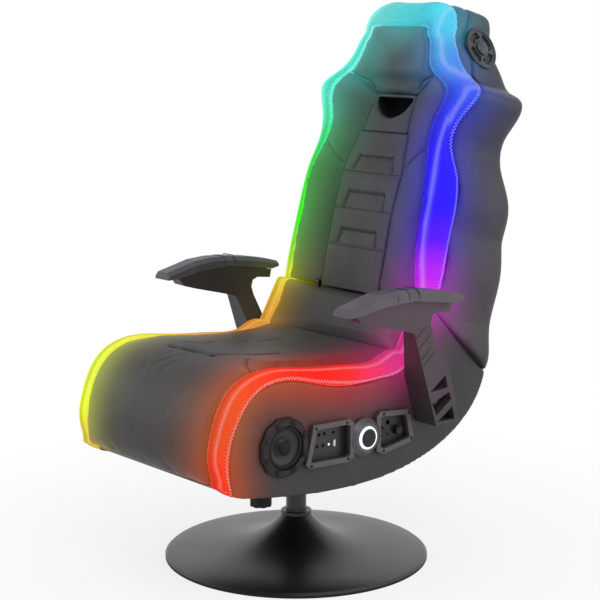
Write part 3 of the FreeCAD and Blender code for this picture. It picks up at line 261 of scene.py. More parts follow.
def bump(material, height, strength, distance, below=None):
    """Add a bump on top of the one below and make it the shader's normal."""
    links = {"Height": height}
    if below:
        links["Normal"] = below
    node = add_node(material, "ShaderNodeBump", links, Strength=strength, Distance=distance)
    material.node_tree.links.new(node.outputs["Normal"], shader_of(material).inputs["Normal"])
    return node.outputs["Normal"]


def glow_from_attribute(material, strength):
    """Let the shader give off the light stored in the Glow attribute."""
    glow = add_node(material, "ShaderNodeAttribute", attribute_name="Glow").outputs["Color"]
    material.node_tree.links.new(glow, shader_of(material).inputs["Emission Color"])
    shader_of(material).inputs["Emission Strength"].default_value = strength
    return glow


# %% [markdown]
# Faux leather is a fabric coated with plastic that is rolled with a grain while it is warm. The eye
# sees a broken, half matt shine. The pebbles are Voronoi cells about a millimetre apart, and a slow
# noise gives faint creases. The coloured light that falls on it is stored in the mesh as an
# attribute: dozens of small lamps could cast it too, but would make every render slow and noisy.

# %%
# Faux leather: a pebbled grain, faint creases and the light that spills on it
def make_leather(name, dark, light, grain=0.0011, roughness=0.5, creases=0.35):
    material = new_material(name, dark, roughness, specular=0.4)
    tone = vary(material, dark, light, 14)
    # Painted light: the base colour loses the colours that the strips' light drowns
    light_drowned = add_node(material, "ShaderNodeAttribute", attribute_name="LightDrowned").outputs["Color"]
    kept = add_node(material, "ShaderNodeVectorMath", {1: light_drowned}, operation="SUBTRACT")
    kept.inputs[0].default_value = (1, 1, 1)
    lit = add_node(material, "ShaderNodeVectorMath", {0: tone, 1: kept.outputs["Vector"]}, operation="MULTIPLY")
    material.node_tree.links.new(lit.outputs["Vector"], shader_of(material).inputs["Base Color"])
    place = object_place(material)
    cells = add_node(material, "ShaderNodeTexVoronoi", {"Vector": place}, Scale=1 / grain)
    pores = bump(material, cells.outputs["Distance"], 0.35, grain * 0.25)
    fold = add_node(material, "ShaderNodeTexNoise", {"Vector": place}, Scale=22, Detail=5.0, Roughness=0.6)
    bump(material, fold.outputs["Fac"], creases, 0.003, pores)
    shine = add_node(material, "ShaderNodeMapRange", {"Value": fold.outputs["Fac"]}, To_Min=roughness - 0.07,
                     To_Max=roughness + 0.1)
    material.node_tree.links.new(shine.outputs["Result"], shader_of(material).inputs["Roughness"])
    glow_from_attribute(material, 1.0)
    return material


leather = make_leather("faux_leather", "#2a292a", "#333233")
# A darker, duller leather that gives off no light: painted shade for the neck pad's recess
shaded_recess_leather = make_leather("faux_leather_painted_shade", "#161618", "#1b1b1e", roughness=0.9)
shader_of(shaded_recess_leather).inputs["Emission Strength"].default_value = 0
shader_of(shaded_recess_leather).inputs["Specular IOR Level"].default_value = 0.05

print("Leathers:", leather.name, shaded_recess_leather.name)

# %% [markdown]
# Spacer mesh is two knitted faces held apart, which spreads the light of the diodes behind it. Its
# weave is drawn a few times coarser than the real one, or it would not show.

# %%
# Lit spacer mesh: a fine open weave over a light strip
def make_light_mesh():
    material = new_material("lit_mesh", "#808080", 0.7, specular=0.2)
    glow = glow_from_attribute(material, 0.86)
    place = object_place(material)
    weave = add_node(material, "ShaderNodeTexVoronoi", {"Vector": place}, Scale=340, Randomness=0.6)
    veil = add_node(material, "ShaderNodeTexNoise", {"Vector": place}, Scale=9, Detail=3.0)
    holes = add_node(material, "ShaderNodeMapRange", {"Value": weave.outputs["Distance"]}, From_Max=0.6,
                     To_Min=0.62, To_Max=1.04)
    clouds = add_node(material, "ShaderNodeMapRange", {"Value": veil.outputs["Fac"]}, From_Min=0.3, From_Max=0.7,
                      To_Min=0.94, To_Max=1.05)
    both = add_node(material, "ShaderNodeMath", {0: holes.outputs["Result"], 1: clouds.outputs["Result"]},
                    operation="MULTIPLY")
    level = add_node(material, "ShaderNodeVectorMath", {0: glow, 1: both.outputs["Value"]}, operation="MULTIPLY")
    links = material.node_tree.links
    links.new(level.outputs["Vector"], shader_of(material).inputs["Emission Color"])
    # Painted light: the mesh's base colour is the light of the strip, dimmed
    light_as_base = add_node(material, "ShaderNodeVectorMath", {0: glow}, operation="SCALE")
    light_as_base.inputs["Scale"].default_value = 0.30
    links.new(light_as_base.outputs["Vector"], shader_of(material).inputs["Base Color"])
    bump(material, weave.outputs["Distance"], 0.5, 0.0006)
    return material


light_mesh = make_light_mesh()

print("Mesh over the lights:", light_mesh.name)

# %% [markdown]
# The hard parts are moulded ABS with a spark-eroded grain, soft-touch skin on the arms, powder
# coated steel with a faint orange peel, plated steel, rubber and coated paper. They differ mostly in
# roughness and grain, so one function makes them all.

# %%
# Plastics, metals, thread and wood
def make_grained(name, dark, light, roughness, grain, depth, metallic=0.0, specular=0.5):
    """A moulded or coated surface with a fine grain and slightly uneven shine."""
    material = new_material(name, dark, roughness, metallic, specular)
    vary(material, dark, light, 30)
    place = object_place(material)
    fine = add_node(material, "ShaderNodeTexNoise", {"Vector": place}, Scale=1 / grain, Detail=2.0)
    bump(material, fine.outputs["Fac"], 0.4, depth)
    smear = add_node(material, "ShaderNodeTexNoise", {"Vector": place}, Scale=8, Detail=3.0)
    shine = add_node(material, "ShaderNodeMapRange", {"Value": smear.outputs["Fac"]}, To_Min=roughness - 0.06,
                     To_Max=roughness + 0.08)
    material.node_tree.links.new(shine.outputs["Result"], shader_of(material).inputs["Roughness"])
    return material


def tint_by_strip(material, strength, low, high, red_y, pink_y):
    """Light of the left strip on a hard part: none at the lower height, all at the upper."""
    axes = add_node(material, "ShaderNodeSeparateXYZ", {"Vector": object_place(material)}).outputs
    rise = add_node(material, "ShaderNodeMapRange", {"Value": axes["Z"]}, From_Min=low, From_Max=high)
    side = add_node(material, "ShaderNodeMapRange", {"Value": axes["X"]}, From_Min=0.20, From_Max=0.24,
                    To_Max=strength)
    along = add_node(material, "ShaderNodeMapRange", {"Value": axes["Y"]}, From_Min=red_y, From_Max=pink_y)
    tint = add_node(material, "ShaderNodeValToRGB", {"Fac": along.outputs["Result"]})
    tint.color_ramp.elements[0].color = (*rgb("#e8431c"), 1)
    tint.color_ramp.elements[1].color = (*rgb("#d03590"), 1)
    level = add_node(material, "ShaderNodeMath", {0: rise.outputs["Result"], 1: side.outputs["Result"]},
                     operation="MULTIPLY").outputs["Value"]
    light = add_node(material, "ShaderNodeVectorMath", {0: tint.outputs["Color"], "Scale": level},
                     operation="SCALE")
    material.node_tree.links.new(light.outputs["Vector"], shader_of(material).inputs["Emission Color"])
    shader_of(material).inputs["Emission Strength"].default_value = 1.0


grey_plastic = make_grained("moulded_plastic_grey", "#2a292b", "#313033", 0.5, 0.0006, 0.00015)
pad_skin = make_grained("soft_touch_skin", "#454449", "#4e4d53", 0.45, 0.0008, 0.0002)
black_plastic = make_grained("moulded_plastic_black", "#121113", "#1a191b", 0.5, 0.0006, 0.00015, specular=0.3)
pod_plastic = make_grained("moulded_plastic_pod", "#4b494b", "#555356", 0.42, 0.0005, 0.0001)
slate_plastic = make_grained("moulded_plastic_slate", "#2f383e", "#39434a", 0.45, 0.0006, 0.0001)
powder_coat = make_grained("powder_coat_black", "#111011", "#161516", 0.32, 0.0012, 0.0001, specular=0.6)
rubber = make_grained("rubber_black", "#0e0e0e", "#151515", 0.7, 0.0008, 0.0002, specular=0.25)
zinc = make_grained("zinc_plated_steel", "#8c8c8a", "#a3a3a0", 0.35, 0.0004, 0.00005, metallic=1.0)
cast_iron = make_grained("cast_iron_primed", "#2c2b2a", "#3a3836", 0.7, 0.002, 0.0004, metallic=0.3)
galvanised = make_grained("galvanised_sheet", "#8f9294", "#a9acae", 0.4, 0.006, 0.00005, metallic=0.9)
nylon = make_grained("nylon_natural", "#cfccc2", "#d8d5cb", 0.45, 0.001, 0.00005)
paper_cone = make_grained("coated_paper_cone", "#222123", "#2c2b2d", 0.6, 0.0009, 0.0003)
white_plastic = make_grained("white_plastic", "#d8d8da", "#e6e6e8", 0.35, 0.0008, 0.00005)
seam_shade = make_grained("seam_shade", "#101011", "#161617", 0.8, 0.0008, 0.0001)


def paint_recess_shade(material, floor_x, face_x, dark, light):
    """Painted shade: the plastic darker towards the floor of the panel's recess than on its raised frame."""
    axes = add_node(material, "ShaderNodeSeparateXYZ", {"Vector": object_place(material)}).outputs
    rise = add_node(material, "ShaderNodeMapRange", {"Value": axes["X"]}, From_Min=floor_x, From_Max=face_x)
    ramp = add_node(material, "ShaderNodeValToRGB", {"Fac": rise.outputs["Result"]})
    ramp.color_ramp.elements[0].color = (*rgb(dark), 1)
    ramp.color_ramp.elements[1].color = (*rgb(light), 1)
    material.node_tree.links.new(ramp.outputs["Color"], shader_of(material).inputs["Base Color"])


# Painted shade in the recess of the pods' panel
paint_recess_shade(pod_plastic, 0.224, 0.2355, "#19181a", "#4e4c4f")
for material, strength, low, high, red_y, pink_y in ((grey_plastic, 0.05, 0.30, 0.52, -0.9, -0.3),
                                                     (pad_skin, 0.02, 0.50, 0.56, -0.9, -0.3),
                                                     (pod_plastic, 0.02, 0.28, 0.36, -0.24, 0.06),
                                                     (black_plastic, 0.015, 0.28, 0.38, -0.24, 0.06)):
    tint_by_strip(material, strength, low, high, red_y, pink_y)


def make_plywood():
    material = new_material("plywood_birch", "#b08b5e", 0.6)
    place = object_place(material, (1, 6, 6))
    rings = add_node(material, "ShaderNodeTexWave", {"Vector": place}, Scale=9, Distortion=6, Detail=3)
    ramp = add_node(material, "ShaderNodeValToRGB", {"Fac": rings.outputs["Fac"]})
    ramp.color_ramp.elements[0].color = (*rgb("#a07a4d"), 1)
    ramp.color_ramp.elements[1].color = (*rgb("#c9a675"), 1)
    material.node_tree.links.new(ramp.outputs["Color"], shader_of(material).inputs["Base Color"])
    bump(material, rings.outputs["Fac"], 0.2, 0.0003)
    return material


plywood = make_plywood()


def make_lit(name, tint, strength):
    """A translucent ring or lens that is lit from behind."""
    material = new_material(name, tint, 0.3)
    fade = add_node(material, "ShaderNodeLayerWeight", Blend=0.35)
    level = add_node(material, "ShaderNodeMapRange", {"Value": fade.outputs["Facing"]}, To_Min=strength,
                     To_Max=strength * 0.4)
    shader_of(material).inputs["Emission Color"].default_value = (*rgb(tint), 1)
    material.node_tree.links.new(level.outputs["Result"], shader_of(material).inputs["Emission Strength"])
    return material


LAMP_WHITE = "#f2f6ff"
ring_light = make_lit("ring_light_white", LAMP_WHITE, 1.0)
lamp_light = make_lit("lamp_light_white", LAMP_WHITE, 1.0)
RING_INSIDE = 0.80  # The lit rim starts at this share of the dial's radius


def light_only_the_rim(material, piece):
    """Leave a lit disc dark inside its rim."""
    corners = np.array([corner.co for corner in piece.data.vertices])
    centre = (corners.min(0) + corners.max(0)) / 2
    radius = (corners.max(0) - corners.min(0))[2] / 2
    centre[0] = corners[:, 0].max()
    place = add_node(material, "ShaderNodeTexCoord").outputs["Object"]
    away = add_node(material, "ShaderNodeVectorMath", {0: place}, operation="DISTANCE")
    away.inputs[1].default_value = centre
    rim = add_node(material, "ShaderNodeMapRange", {"Value": away.outputs["Value"]},
                   From_Min=radius * RING_INSIDE, From_Max=radius * (RING_INSIDE + 0.03))
    for socket, inside in (("Base Color", "#1b1a1c"), ("Emission Color", "#000000")):
        ramp = add_node(material, "ShaderNodeValToRGB", {"Fac": rim.outputs["Result"]})
        ramp.color_ramp.elements[0].color = (*rgb(inside), 1)
        ramp.color_ramp.elements[1].color = (*rgb(LAMP_WHITE), 1)
        material.node_tree.links.new(ramp.outputs["Color"], shader_of(material).inputs[socket])
    print("Lit rim of the dial: radius", round(radius * 1000, 1), "mm")


light_only_the_rim(ring_light, nodes["control_dial"])

print("Finishes so far:", len(bpy.data.materials))

# %% [markdown]
# A CAD edge is perfectly sharp, and no real moulding is. A small bevel catches the light there. It
# stays a modifier, so the CAD node's own mesh isn't changed.

# %%
# Put materials on the CAD nodes that stay, and round their sharp edges
def dress(material, *names, edge=0.0006):
    for name in names:
        node = nodes[name]
        node.data.materials.clear()
        node.data.materials.append(material)
        if edge:
            rounding = node.modifiers.new("soft_edge", "BEVEL")
            rounding.width = edge
            rounding.segments = 2
            rounding.limit_method = "ANGLE"
            rounding.angle_limit = math.radians(35)
            rounding.harden_normals = False


dress(powder_coat, "base_dish", "neck_tube", "swivel_post", "tilt_lower_bracket", "tilt_upper_bracket")
dress(rubber, "base_rim_ring")
dress(cast_iron, "base_weight")
dress(nylon, "swivel_bush", edge=0)
dress(zinc, "tilt_axle", "tension_bolt", "tilt_spring", "mount_bolts", "arm_bolts",
      "seat_speaker_motors", edge=0)
dress(powder_coat, "fold_hinge_seat_leaves", "fold_hinge_back_leaves", "fold_pins", edge=0)
dress(black_plastic, "tension_knob", "volume_knob", "bass_knob", "pair_button", "dial_button",
      "seat_speaker_frames", edge=0.0005)
dress(slate_plastic, "head_speaker_frames", edge=0.0005)
dress(pod_plastic, "socket_pod", "knob_pod", "dial_housing", edge=0.0008)
dress(grey_plastic, "arm_body_left", "arm_body_right", edge=0.0012)
dress(pad_skin, "arm_pad_left", "arm_pad_right", edge=0.002)
dress(plywood, "seat_deck", "seat_cross_boards", edge=0)
dress(black_plastic, "back_board", "seat_side_board_left", "seat_side_board_right", edge=0)
dress(paper_cone, "seat_speaker_cones", "head_speaker_drivers", "subwoofer", edge=0)
dress(galvanised, "amplifier_box", edge=0)
dress(white_plastic, "power_switch", edge=0.0003)
dress(ring_light, "control_dial", edge=0)
dress(lamp_light, "power_lamp", edge=0)

# %% [markdown]
# ## Padding
#
# Each padded piece starts from the CAD model's closed solid. It is remeshed into an even skin,
# then inflated a little as cloth, so that its edges round off and its faces crown.

# %% [markdown]
# The air pressure of the cloth simulation stands for the foam that pushes the cover out. A cap on
# how far a point may move keeps each pad clear of its neighbours.

# %%
# Functions that turn a CAD solid into a padded piece
def copy_of(name, *sources):
    """One new object with the meshes of some CAD nodes."""
    joined = bmesh.new()
    for source in sources:
        joined.from_mesh(nodes[source].data)
    bmesh.ops.remove_doubles(joined, verts=joined.verts, dist=1e-6)
    mesh = bpy.data.meshes.new(name)
    joined.to_mesh(mesh)
    joined.free()
    piece = bpy.data.objects.new(name, mesh)
    scene.collection.objects.link(piece)
    return piece


def apply_modifiers(piece):
    """Replace a piece's mesh by what its modifiers make of it."""
    graph = bpy.context.evaluated_depsgraph_get()
    mesh = bpy.data.meshes.new_from_object(piece.evaluated_get(graph))
    piece.modifiers.clear()
    piece.data = mesh


def remesh(piece, voxel, smoothing=4):
    """An even skin of quads, its sharp edges eased."""
    skin = piece.modifiers.new("skin", "REMESH")
    skin.mode = "VOXEL"
    skin.voxel_size = voxel
    if smoothing:
        ease = piece.modifiers.new("ease", "SMOOTH")
        ease.factor = 0.5
        ease.iterations = smoothing
    apply_modifiers(piece)


def coordinates(piece):
    values = np.empty(len(piece.data.vertices) * 3)
    piece.data.vertices.foreach_get("co", values)
    return values.reshape(-1, 3)


def place_vertices(piece, values):
    piece.data.vertices.foreach_set("co", values.ravel())
    piece.data.update()


def inflate(piece, pressure, cap, frames=12):
    """Blow the piece up as cloth, and let no point move further than the cap."""
    before = coordinates(piece)
    cloth = piece.modifiers.new("stuffing", "CLOTH")
    cloth.settings.quality = 4
    cloth.settings.mass = 0.3
    cloth.settings.use_pressure = True
    cloth.settings.uniform_pressure_force = pressure
    cloth.settings.tension_stiffness = 20
    cloth.settings.compression_stiffness = 20
    cloth.settings.bending_stiffness = 0.8
    cloth.settings.effector_weights.gravity = 0
    cloth.point_cache.frame_start = 1
    cloth.point_cache.frame_end = frames
    for step in range(1, frames + 1):
        scene.frame_set(step)
    graph = bpy.context.evaluated_depsgraph_get()
    swollen = piece.evaluated_get(graph).to_mesh()
    after = np.empty(len(swollen.vertices) * 3)
    swollen.vertices.foreach_get("co", after)
    move = after.reshape(-1, 3) - before
    piece.evaluated_get(graph).to_mesh_clear()
    piece.modifiers.clear()
    scene.frame_set(1)
    length = np.linalg.norm(move, axis=1, keepdims=True)
    move *= np.minimum(1, cap / np.maximum(length, 1e-9))
    place_vertices(piece, before + move)


def subdivide(piece, levels=1):
    finer = piece.modifiers.new("finer", "SUBSURF")
    finer.levels = levels
    finer.render_levels = levels
    apply_modifiers(piece)


def finish_soft(piece, material, body, slot, fill, *replaced):
    """Smooth shading, material and body, and the CAD nodes that the piece replaces hidden; slot and fill are not
    used.
    """
    piece.data.materials.clear()
    piece.data.materials.append(material)
    piece.data.shade_smooth()
    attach(piece, body)
    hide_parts(*replaced)
    return piece


# %%
# Seams: a groove pressed into the padding, with a shaded line or stitches in it
def path_points(points, spacing):
    """Points at an even spacing along a smooth run through the given places."""
    places = np.array([tuple(p) for p in points])
    if len(places) > 2:
        ends = np.vstack([2 * places[0] - places[1], places, 2 * places[-1] - places[-2]])
        fine = []
        for i in range(len(places) - 1):
            p0, p1, p2, p3 = ends[i:i + 4]
            for t in np.linspace(0, 1, 12, endpoint=False):
                fine.append(0.5 * (2 * p1 + (p2 - p0) * t + (2 * p0 - 5 * p1 + 4 * p2 - p3) * t ** 2
                                   + (3 * p1 - p0 - 3 * p2 + p3) * t ** 3))
        places = np.vstack(fine + [places[-1]])
    steps = np.linalg.norm(np.diff(places, axis=0), axis=1)
    along = np.concatenate([[0], np.cumsum(steps)])
    wanted = np.linspace(0, along[-1], max(3, int(along[-1] / spacing) + 1))
    return np.stack([np.interp(wanted, along, places[:, k]) for k in range(3)], axis=1)


def press(piece, line, depth, width):
    """Press a groove along a line of points into a piece."""
    values = coordinates(piece)
    normals = np.empty(len(values) * 3)
    piece.data.vertices.foreach_get("normal", normals)
    normals = normals.reshape(-1, 3)
    low, high = line.min(0) - 4 * width, line.max(0) + 4 * width
    near = np.where(np.all((values > low) & (values < high), axis=1))[0]
    if not len(near):
        return
    gap = np.min(np.linalg.norm(values[near][:, None] - line[None], axis=2), axis=1)
    values[near] -= normals[near] * (depth * np.exp(-(gap / width) ** 2))[:, None]
    place_vertices(piece, values)


def laid_on(surface, line, lift=0.0):
    """A line moved to the nearest places of a surface, and the normals there."""
    spots = [surface.find_nearest(Vector(point)) for point in line]
    normals = np.array([tuple(spot[1]) for spot in spots])
    return np.array([tuple(spot[0]) for spot in spots]) + normals * lift, normals


def tube_mesh(lines, radius, sides=6):
    """Vertices and faces of round tubes along some lines of points."""
    vertices, faces = [], []
    for line in lines:
        start = len(vertices)
        line = [Vector(p) for p in line]
        side = Vector((0, 0, 1))
        for i, point in enumerate(line):
            run = (line[min(i + 1, len(line) - 1)] - line[max(i - 1, 0)]).normalized()
            side = side - run * side.dot(run)
            if side.length < 1e-6:
                side = run.orthogonal()
            side.normalize()
            other = run.cross(side)
            for k in range(sides):
                turn = 2 * math.pi * k / sides
                vertices.append(point + (side * math.cos(turn) + other * math.sin(turn)) * radius)
        for i in range(len(line) - 1):
            for k in range(sides):
                a, b = start + i * sides + k, start + i * sides + (k + 1) % sides
                faces.append((a, b, b + sides, a + sides))
        last = start + (len(line) - 1) * sides
        faces.append(tuple(range(start + sides - 1, start - 1, -1)))
        faces.append(tuple(range(last, last + sides)))
    return vertices, faces


def add_piece(name, vertices, faces, material, body, smooth=True):
    """A new piece of the chair from vertices and faces."""
    mesh = bpy.data.meshes.new(name)
    mesh.from_pydata([tuple(v) for v in vertices], [], faces)
    mesh.update()
    piece = bpy.data.objects.new(name, mesh)
    scene.collection.objects.link(piece)
    piece.data.materials.append(material)
    if smooth:
        piece.data.shade_smooth()
    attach(piece, body)
    return piece


def surface_of(piece):
    return BVHTree.FromPolygons([v.co for v in piece.data.vertices], [p.vertices[:] for p in piece.data.polygons])


def sew(name, piece, runs, body, depth=0.0035, width=0.004, thickness=0.0009):
    """Press some seams into a piece and lay a thin dark tube of painted shade at the bottom of the folds."""
    lines = [laid_on(surface_of(piece), path_points(run, 0.003))[0] for run in runs]
    for line in lines:
        press(piece, line, depth, width)
    surface = surface_of(piece)
    laid = [laid_on(surface, line, -0.0003)[0] for line in lines]
    vertices, faces = tube_mesh(laid, thickness)
    print(f"{name}: {len(laid)} seams")
    return add_piece(name, vertices, faces, seam_shade, body)


def seen(pixel, piece):
    """The place on a piece that the camera sees at a point of the 600 pixel wide photograph."""
    ray = camera.matrix_world.to_3x3() @ Vector(((pixel[0] - 300) / 1621.03, (300 - pixel[1]) / 1621.03, -1))
    start = camera.matrix_world.translation
    hit, place, _, _ = piece.ray_cast(start, ray.normalized())
    if not hit:
        raise ValueError(f"nothing of {piece.name} at {pixel}")
    return place


# %% [markdown]
# ### Seat

# %%
# Seat cushion, lumbar pad, sides and underside
seat_cushion = copy_of("cushion_seat", "seat_cushion")
remesh(seat_cushion, 0.006)
inflate(seat_cushion, 3, 0.006)
subdivide(seat_cushion)

lumbar = copy_of("cushion_lumbar", "lumbar_pad")
remesh(lumbar, 0.005)
inflate(lumbar, 3, 0.005)
subdivide(lumbar)

sides = {}
for side in ("left", "right"):
    sides[side] = copy_of(f"side_padding_{side}", f"seat_side_pad_{side}")
    remesh(sides[side], 0.004, 3)

underside = copy_of("underside_cover", "seat_underside_panel")
remesh(underside, 0.005, 2)
ledge = copy_of("ledge_padding", "seat_ledge_pad")
remesh(ledge, 0.004, 2)

print("Seat cushion:", len(seat_cushion.data.polygons), "faces")

# %% [markdown]
# The strips are foam cores under mesh. The two strips of the back and the one round the head are
# made as one piece, because the mesh on the real chair has no seam between them that shows.

# %%
# Light strips of the seat and the back
strips = {}
for name, sources in (("seat_strip_left", ["seat_strip_left"]), ("seat_strip_right", ["seat_strip_right"]),
                      ("back_edge", ["back_strip_left", "head_strip", "back_strip_right"])):
    strips[name] = copy_of(f"lit_{name}", *sources)
    remesh(strips[name], 0.0035, 4)
    inflate(strips[name], 2, 0.0015, 8)

print("Light strips:", ", ".join(strips))

# %% [markdown]
# ### Back

# %% [markdown]
# The back's side bolsters and its rear are sewn from one cover. Remeshed together they close the
# gaps between their solids, and the seams are pressed in afterwards.

# %%
# The cover of the back: shell and bolsters in one skin
back_cover = copy_of("back_cover", "back_rear_shell", "back_bolster_left", "back_bolster_right")
remesh(back_cover, 0.0046, 4)
inflate(back_cover, 1.5, 0.002, 8)
centre_pad = copy_of("back_centre_padding", "back_centre_pad")
remesh(centre_pad, 0.0028, 3)
neck_pad = copy_of("neck_padding", "neck_pad")
remesh(neck_pad, 0.003, 2)
head_pad = copy_of("head_padding", "head_pad")
remesh(head_pad, 0.005, 12)
inflate(head_pad, 3, 0.004)
subdivide(head_pad)

print("Cover of the back:", len(back_cover.data.polygons), "faces")

# %% [markdown]
# A seam pulls the padding in. The skin near the seam's line is pressed in along its normals, and a
# thin dark tube, painted shade, is laid at the bottom of that fold. The seat's seams are set where the
# camera sees them on the real chair.

# %%
# Seams of the seat
bpy.context.view_layer.update()
FRONT_SEAM = [[(169.8, 345.4), (190, 349.5), (213.3, 355.4)]]
SEAT_SEAMS = [[(213.4, 355.7), (228.5, 353.9), (252.8, 354.3), (280, 353)],
              [(248, 359), (247, 366), (253.4, 374.9)]]
SEAT_STROKES = [[(185, 341), (199, 343), (213, 342)], [(222, 342), (234.6, 342), (247, 340)],
                [(258, 341), (270, 340), (282, 338)]]
for name, runs, depth in (("seam_seat_front", FRONT_SEAM, 0.005), ("seam_seat_top", SEAT_SEAMS, 0.003),
                          ("seam_seat_strokes", SEAT_STROKES, 0.002)):
    sew(name, seat_cushion, [[seen(pixel, seat_cushion) for pixel in run] for run in runs], "seat", depth)

# %%
# Seams of the back, the head and the rear
SHOULDER, HEAD_SEAM = ((144, -8, 320), (120, -6, 300), (92, -2, 280)), ((112, 0, 466), (86, 0, 450), (60, 0, 432))
REAR_SEAM = ((120, 215, 20), (112, 222, 160), (96, 205, 280), (92, 185, 380), (96, 182, 440), (80, 175, 520),
             (70, 160, 600))


def both_sides(run):
    return [[on_back(side * u, n, v) for u, n, v in run] for side in (-1, 1)]


sew("seam_back_shoulders", back_cover, both_sides(SHOULDER), "back", 0.003)
rear_cross = [[on_back(share * half, n, v) for share in (-1, -0.4, 0.4, 1)] for half, n, v in
              ((112, 222, 110), (92, 185, 420))]
sew("seam_back_rear", back_cover, both_sides(REAR_SEAM) + rear_cross, "back", 0.0035, 0.005)
sew("seam_head", head_pad, both_sides(HEAD_SEAM), "back", 0.003)

# %% [markdown]
# The flat panel between the bolsters has three sewn channels, and above each a tab whose upper part
# is pressed in like a shallow pocket.

# %%
# Channels and tabs of the centre panel
CHANNELS = [108, 186, 264]
TABS = [((49, 297), (58, 269)), ((51, 221), (58, 190)), ((49, 141), (57, 113))]
sew("seam_back_channels", centre_pad, [[on_back(u, -6, v) for u in (-80, -40, 0, 40, 80)] for v in CHANNELS],
    "back", 0.0012, 0.0035, 0.0008)
tab_runs = []
for (top, high), (foot, low) in TABS:
    tab_runs += [[on_back(-foot, -6, low), on_back(-top, -6, high)],
                 [on_back(-top, -6, high), on_back(top, -6, high)],
                 [on_back(top, -6, high), on_back(foot, -6, low)]]
sew("seam_back_tabs", centre_pad, tab_runs, "back", 0.0035, 0.0032, 0.0006)


def back_frame(values):
    """Places in the model's frame as millimetres in the back's: across, rearwards and up."""
    place = (values - np.array(tuple(HIP))) * 1000
    return (place[:, 0], place @ np.array((0, math.cos(LEAN), -math.sin(LEAN))),
            place @ np.array((0, math.sin(LEAN), math.cos(LEAN))))


def sink_tabs(piece, depth):
    values = coordinates(piece)
    across, rearwards, up = back_frame(values)
    for (top, high), (foot, low) in TABS:
        half = top + (foot - top) * (high - up) / (high - low)
        inside = (up < high) & (up > low) & (np.abs(across) < half) & (rearwards < 15)
        margin = np.clip((half - np.abs(across)) / 6, 0, 1) * np.clip((high - up) / 5, 0, 1)
        fall = margin * (up - low) / (high - low)
        values[inside] += (np.array((0, math.cos(LEAN), -math.sin(LEAN))) * depth) * fall[inside][:, None]
    place_vertices(piece, values)


sink_tabs(centre_pad, 0.0045)

print("Centre panel:", len(centre_pad.data.polygons), "faces,", len(TABS), "tabs")

# %% [markdown]
# Light comes last, when no vertex moves any more. Each piece is then given its finish and body.

# %%
# Light on every padded piece, and the material and body of each. The strips' light reaches further over the
# seat and back, which face them, than down the sides.
FACING_GLOW, FACING_REACH = 0.34, 0.058
SIDE_GLOW, SIDE_REACH = 0.36, 0.042
for piece in (seat_cushion, lumbar, back_cover, centre_pad, neck_pad, head_pad):
    add_glow(piece, FACING_GLOW, FACING_REACH)
for piece in (sides["left"], sides["right"], underside, ledge):
    add_glow(piece, SIDE_GLOW, SIDE_REACH)
for strip in strips.values():
    light_strip(strip)

finish_soft(seat_cushion, leather, "seat", "padded_leather", 0.9, "seat_cushion")
finish_soft(lumbar, leather, "seat", "padded_leather", 0.8, "lumbar_pad")
for side in ("left", "right"):
    finish_soft(sides[side], leather, "seat", "padded_leather", 0.9, f"seat_side_pad_{side}")
finish_soft(underside, leather, "seat", "padded_leather", 1.0, "seat_underside_panel")
finish_soft(ledge, leather, "seat", "padded_leather", 1.0, "seat_ledge_pad")
for name, strip in strips.items():
    if name == "back_edge":
        finish_soft(strip, light_mesh, "back", "light_mesh", 0.8, "back_strip_left", "head_strip",
                    "back_strip_right")
    else:
        finish_soft(strip, light_mesh, "seat", "light_mesh", 0.8, name)
finish_soft(back_cover, leather, "back", "padded_leather", 0.9, "back_rear_shell", "back_bolster_left",
            "back_bolster_right")
finish_soft(centre_pad, leather, "back", "padded_leather", 0.8, "back_centre_pad")
finish_soft(neck_pad, leather, "back", "padded_leather", 0.8, "neck_pad")
# Painted shade: the faces inside the neck pad's recess take the darker, duller leather
neck_pad.data.materials.append(shaded_recess_leather)
centres = np.array([tuple(face.center) for face in neck_pad.data.polygons])
across, rearwards, up = back_frame(centres)
round_foot = 427 - 47 * np.sqrt(np.clip(1 - (across / 54) ** 2, 0, 1))
painted_shade_faces = (np.abs(across) < 54) & (up > round_foot) & (up < 430) & (rearwards > 25)
neck_pad.data.polygons.foreach_set("material_index", painted_shade_faces.astype(int))
finish_soft(head_pad, leather, "back", "padded_leather", 0.8, "head_pad")

# %% [markdown]
# The outer edge of each strip is sewn with a wide zig-zag in a pale thread, about four millimetres
# across, that takes on the colour of the light under it.

# %%
# Zig-zag stitches
# Drawn about twice as coarse as thread, or it would not show
STITCH_IN, STITCH_STEP, STITCH_HALF, STITCH_THICKNESS = 0.0080, 0.0034, 0.0028, 0.00085
BACK_EDGE = [(226, 20, 30), (221, 34, 60), (213, 41, 140), (210, 44, 220), (203, 38, 280), (191, 19, 340),
             (200, 17, 380), (220, 22, 415), (230, 28, 440), (202, 41, 465), (155, 40, 500), (131, 33, 545)]
HEAD_EDGE = [(125, 36, 574), (113, 36, 604), (88, 36, 621), (28, 36, 624), (-28, 36, 624), (-88, 36, 621),
             (-113, 36, 604), (-125, 36, 574)]
SEAT_EDGE = [(-337, 40), (-346, 86), (-341, 130), (-320, 176), (-293, 207), (-255, 225), (-200, 226),
             (-130, 208), (-50, 196), (30, 199), (95, 225), (140, 292)]
stitch_thread = new_material("thread_pale", "#b4b4c0", 0.6, specular=0.2)
twist = add_node(stitch_thread, "ShaderNodeTexNoise", {"Vector": object_place(stitch_thread)}, Scale=900)
bump(stitch_thread, twist.outputs["Fac"], 0.4, 0.0002)
glow_from_attribute(stitch_thread, 0.55)


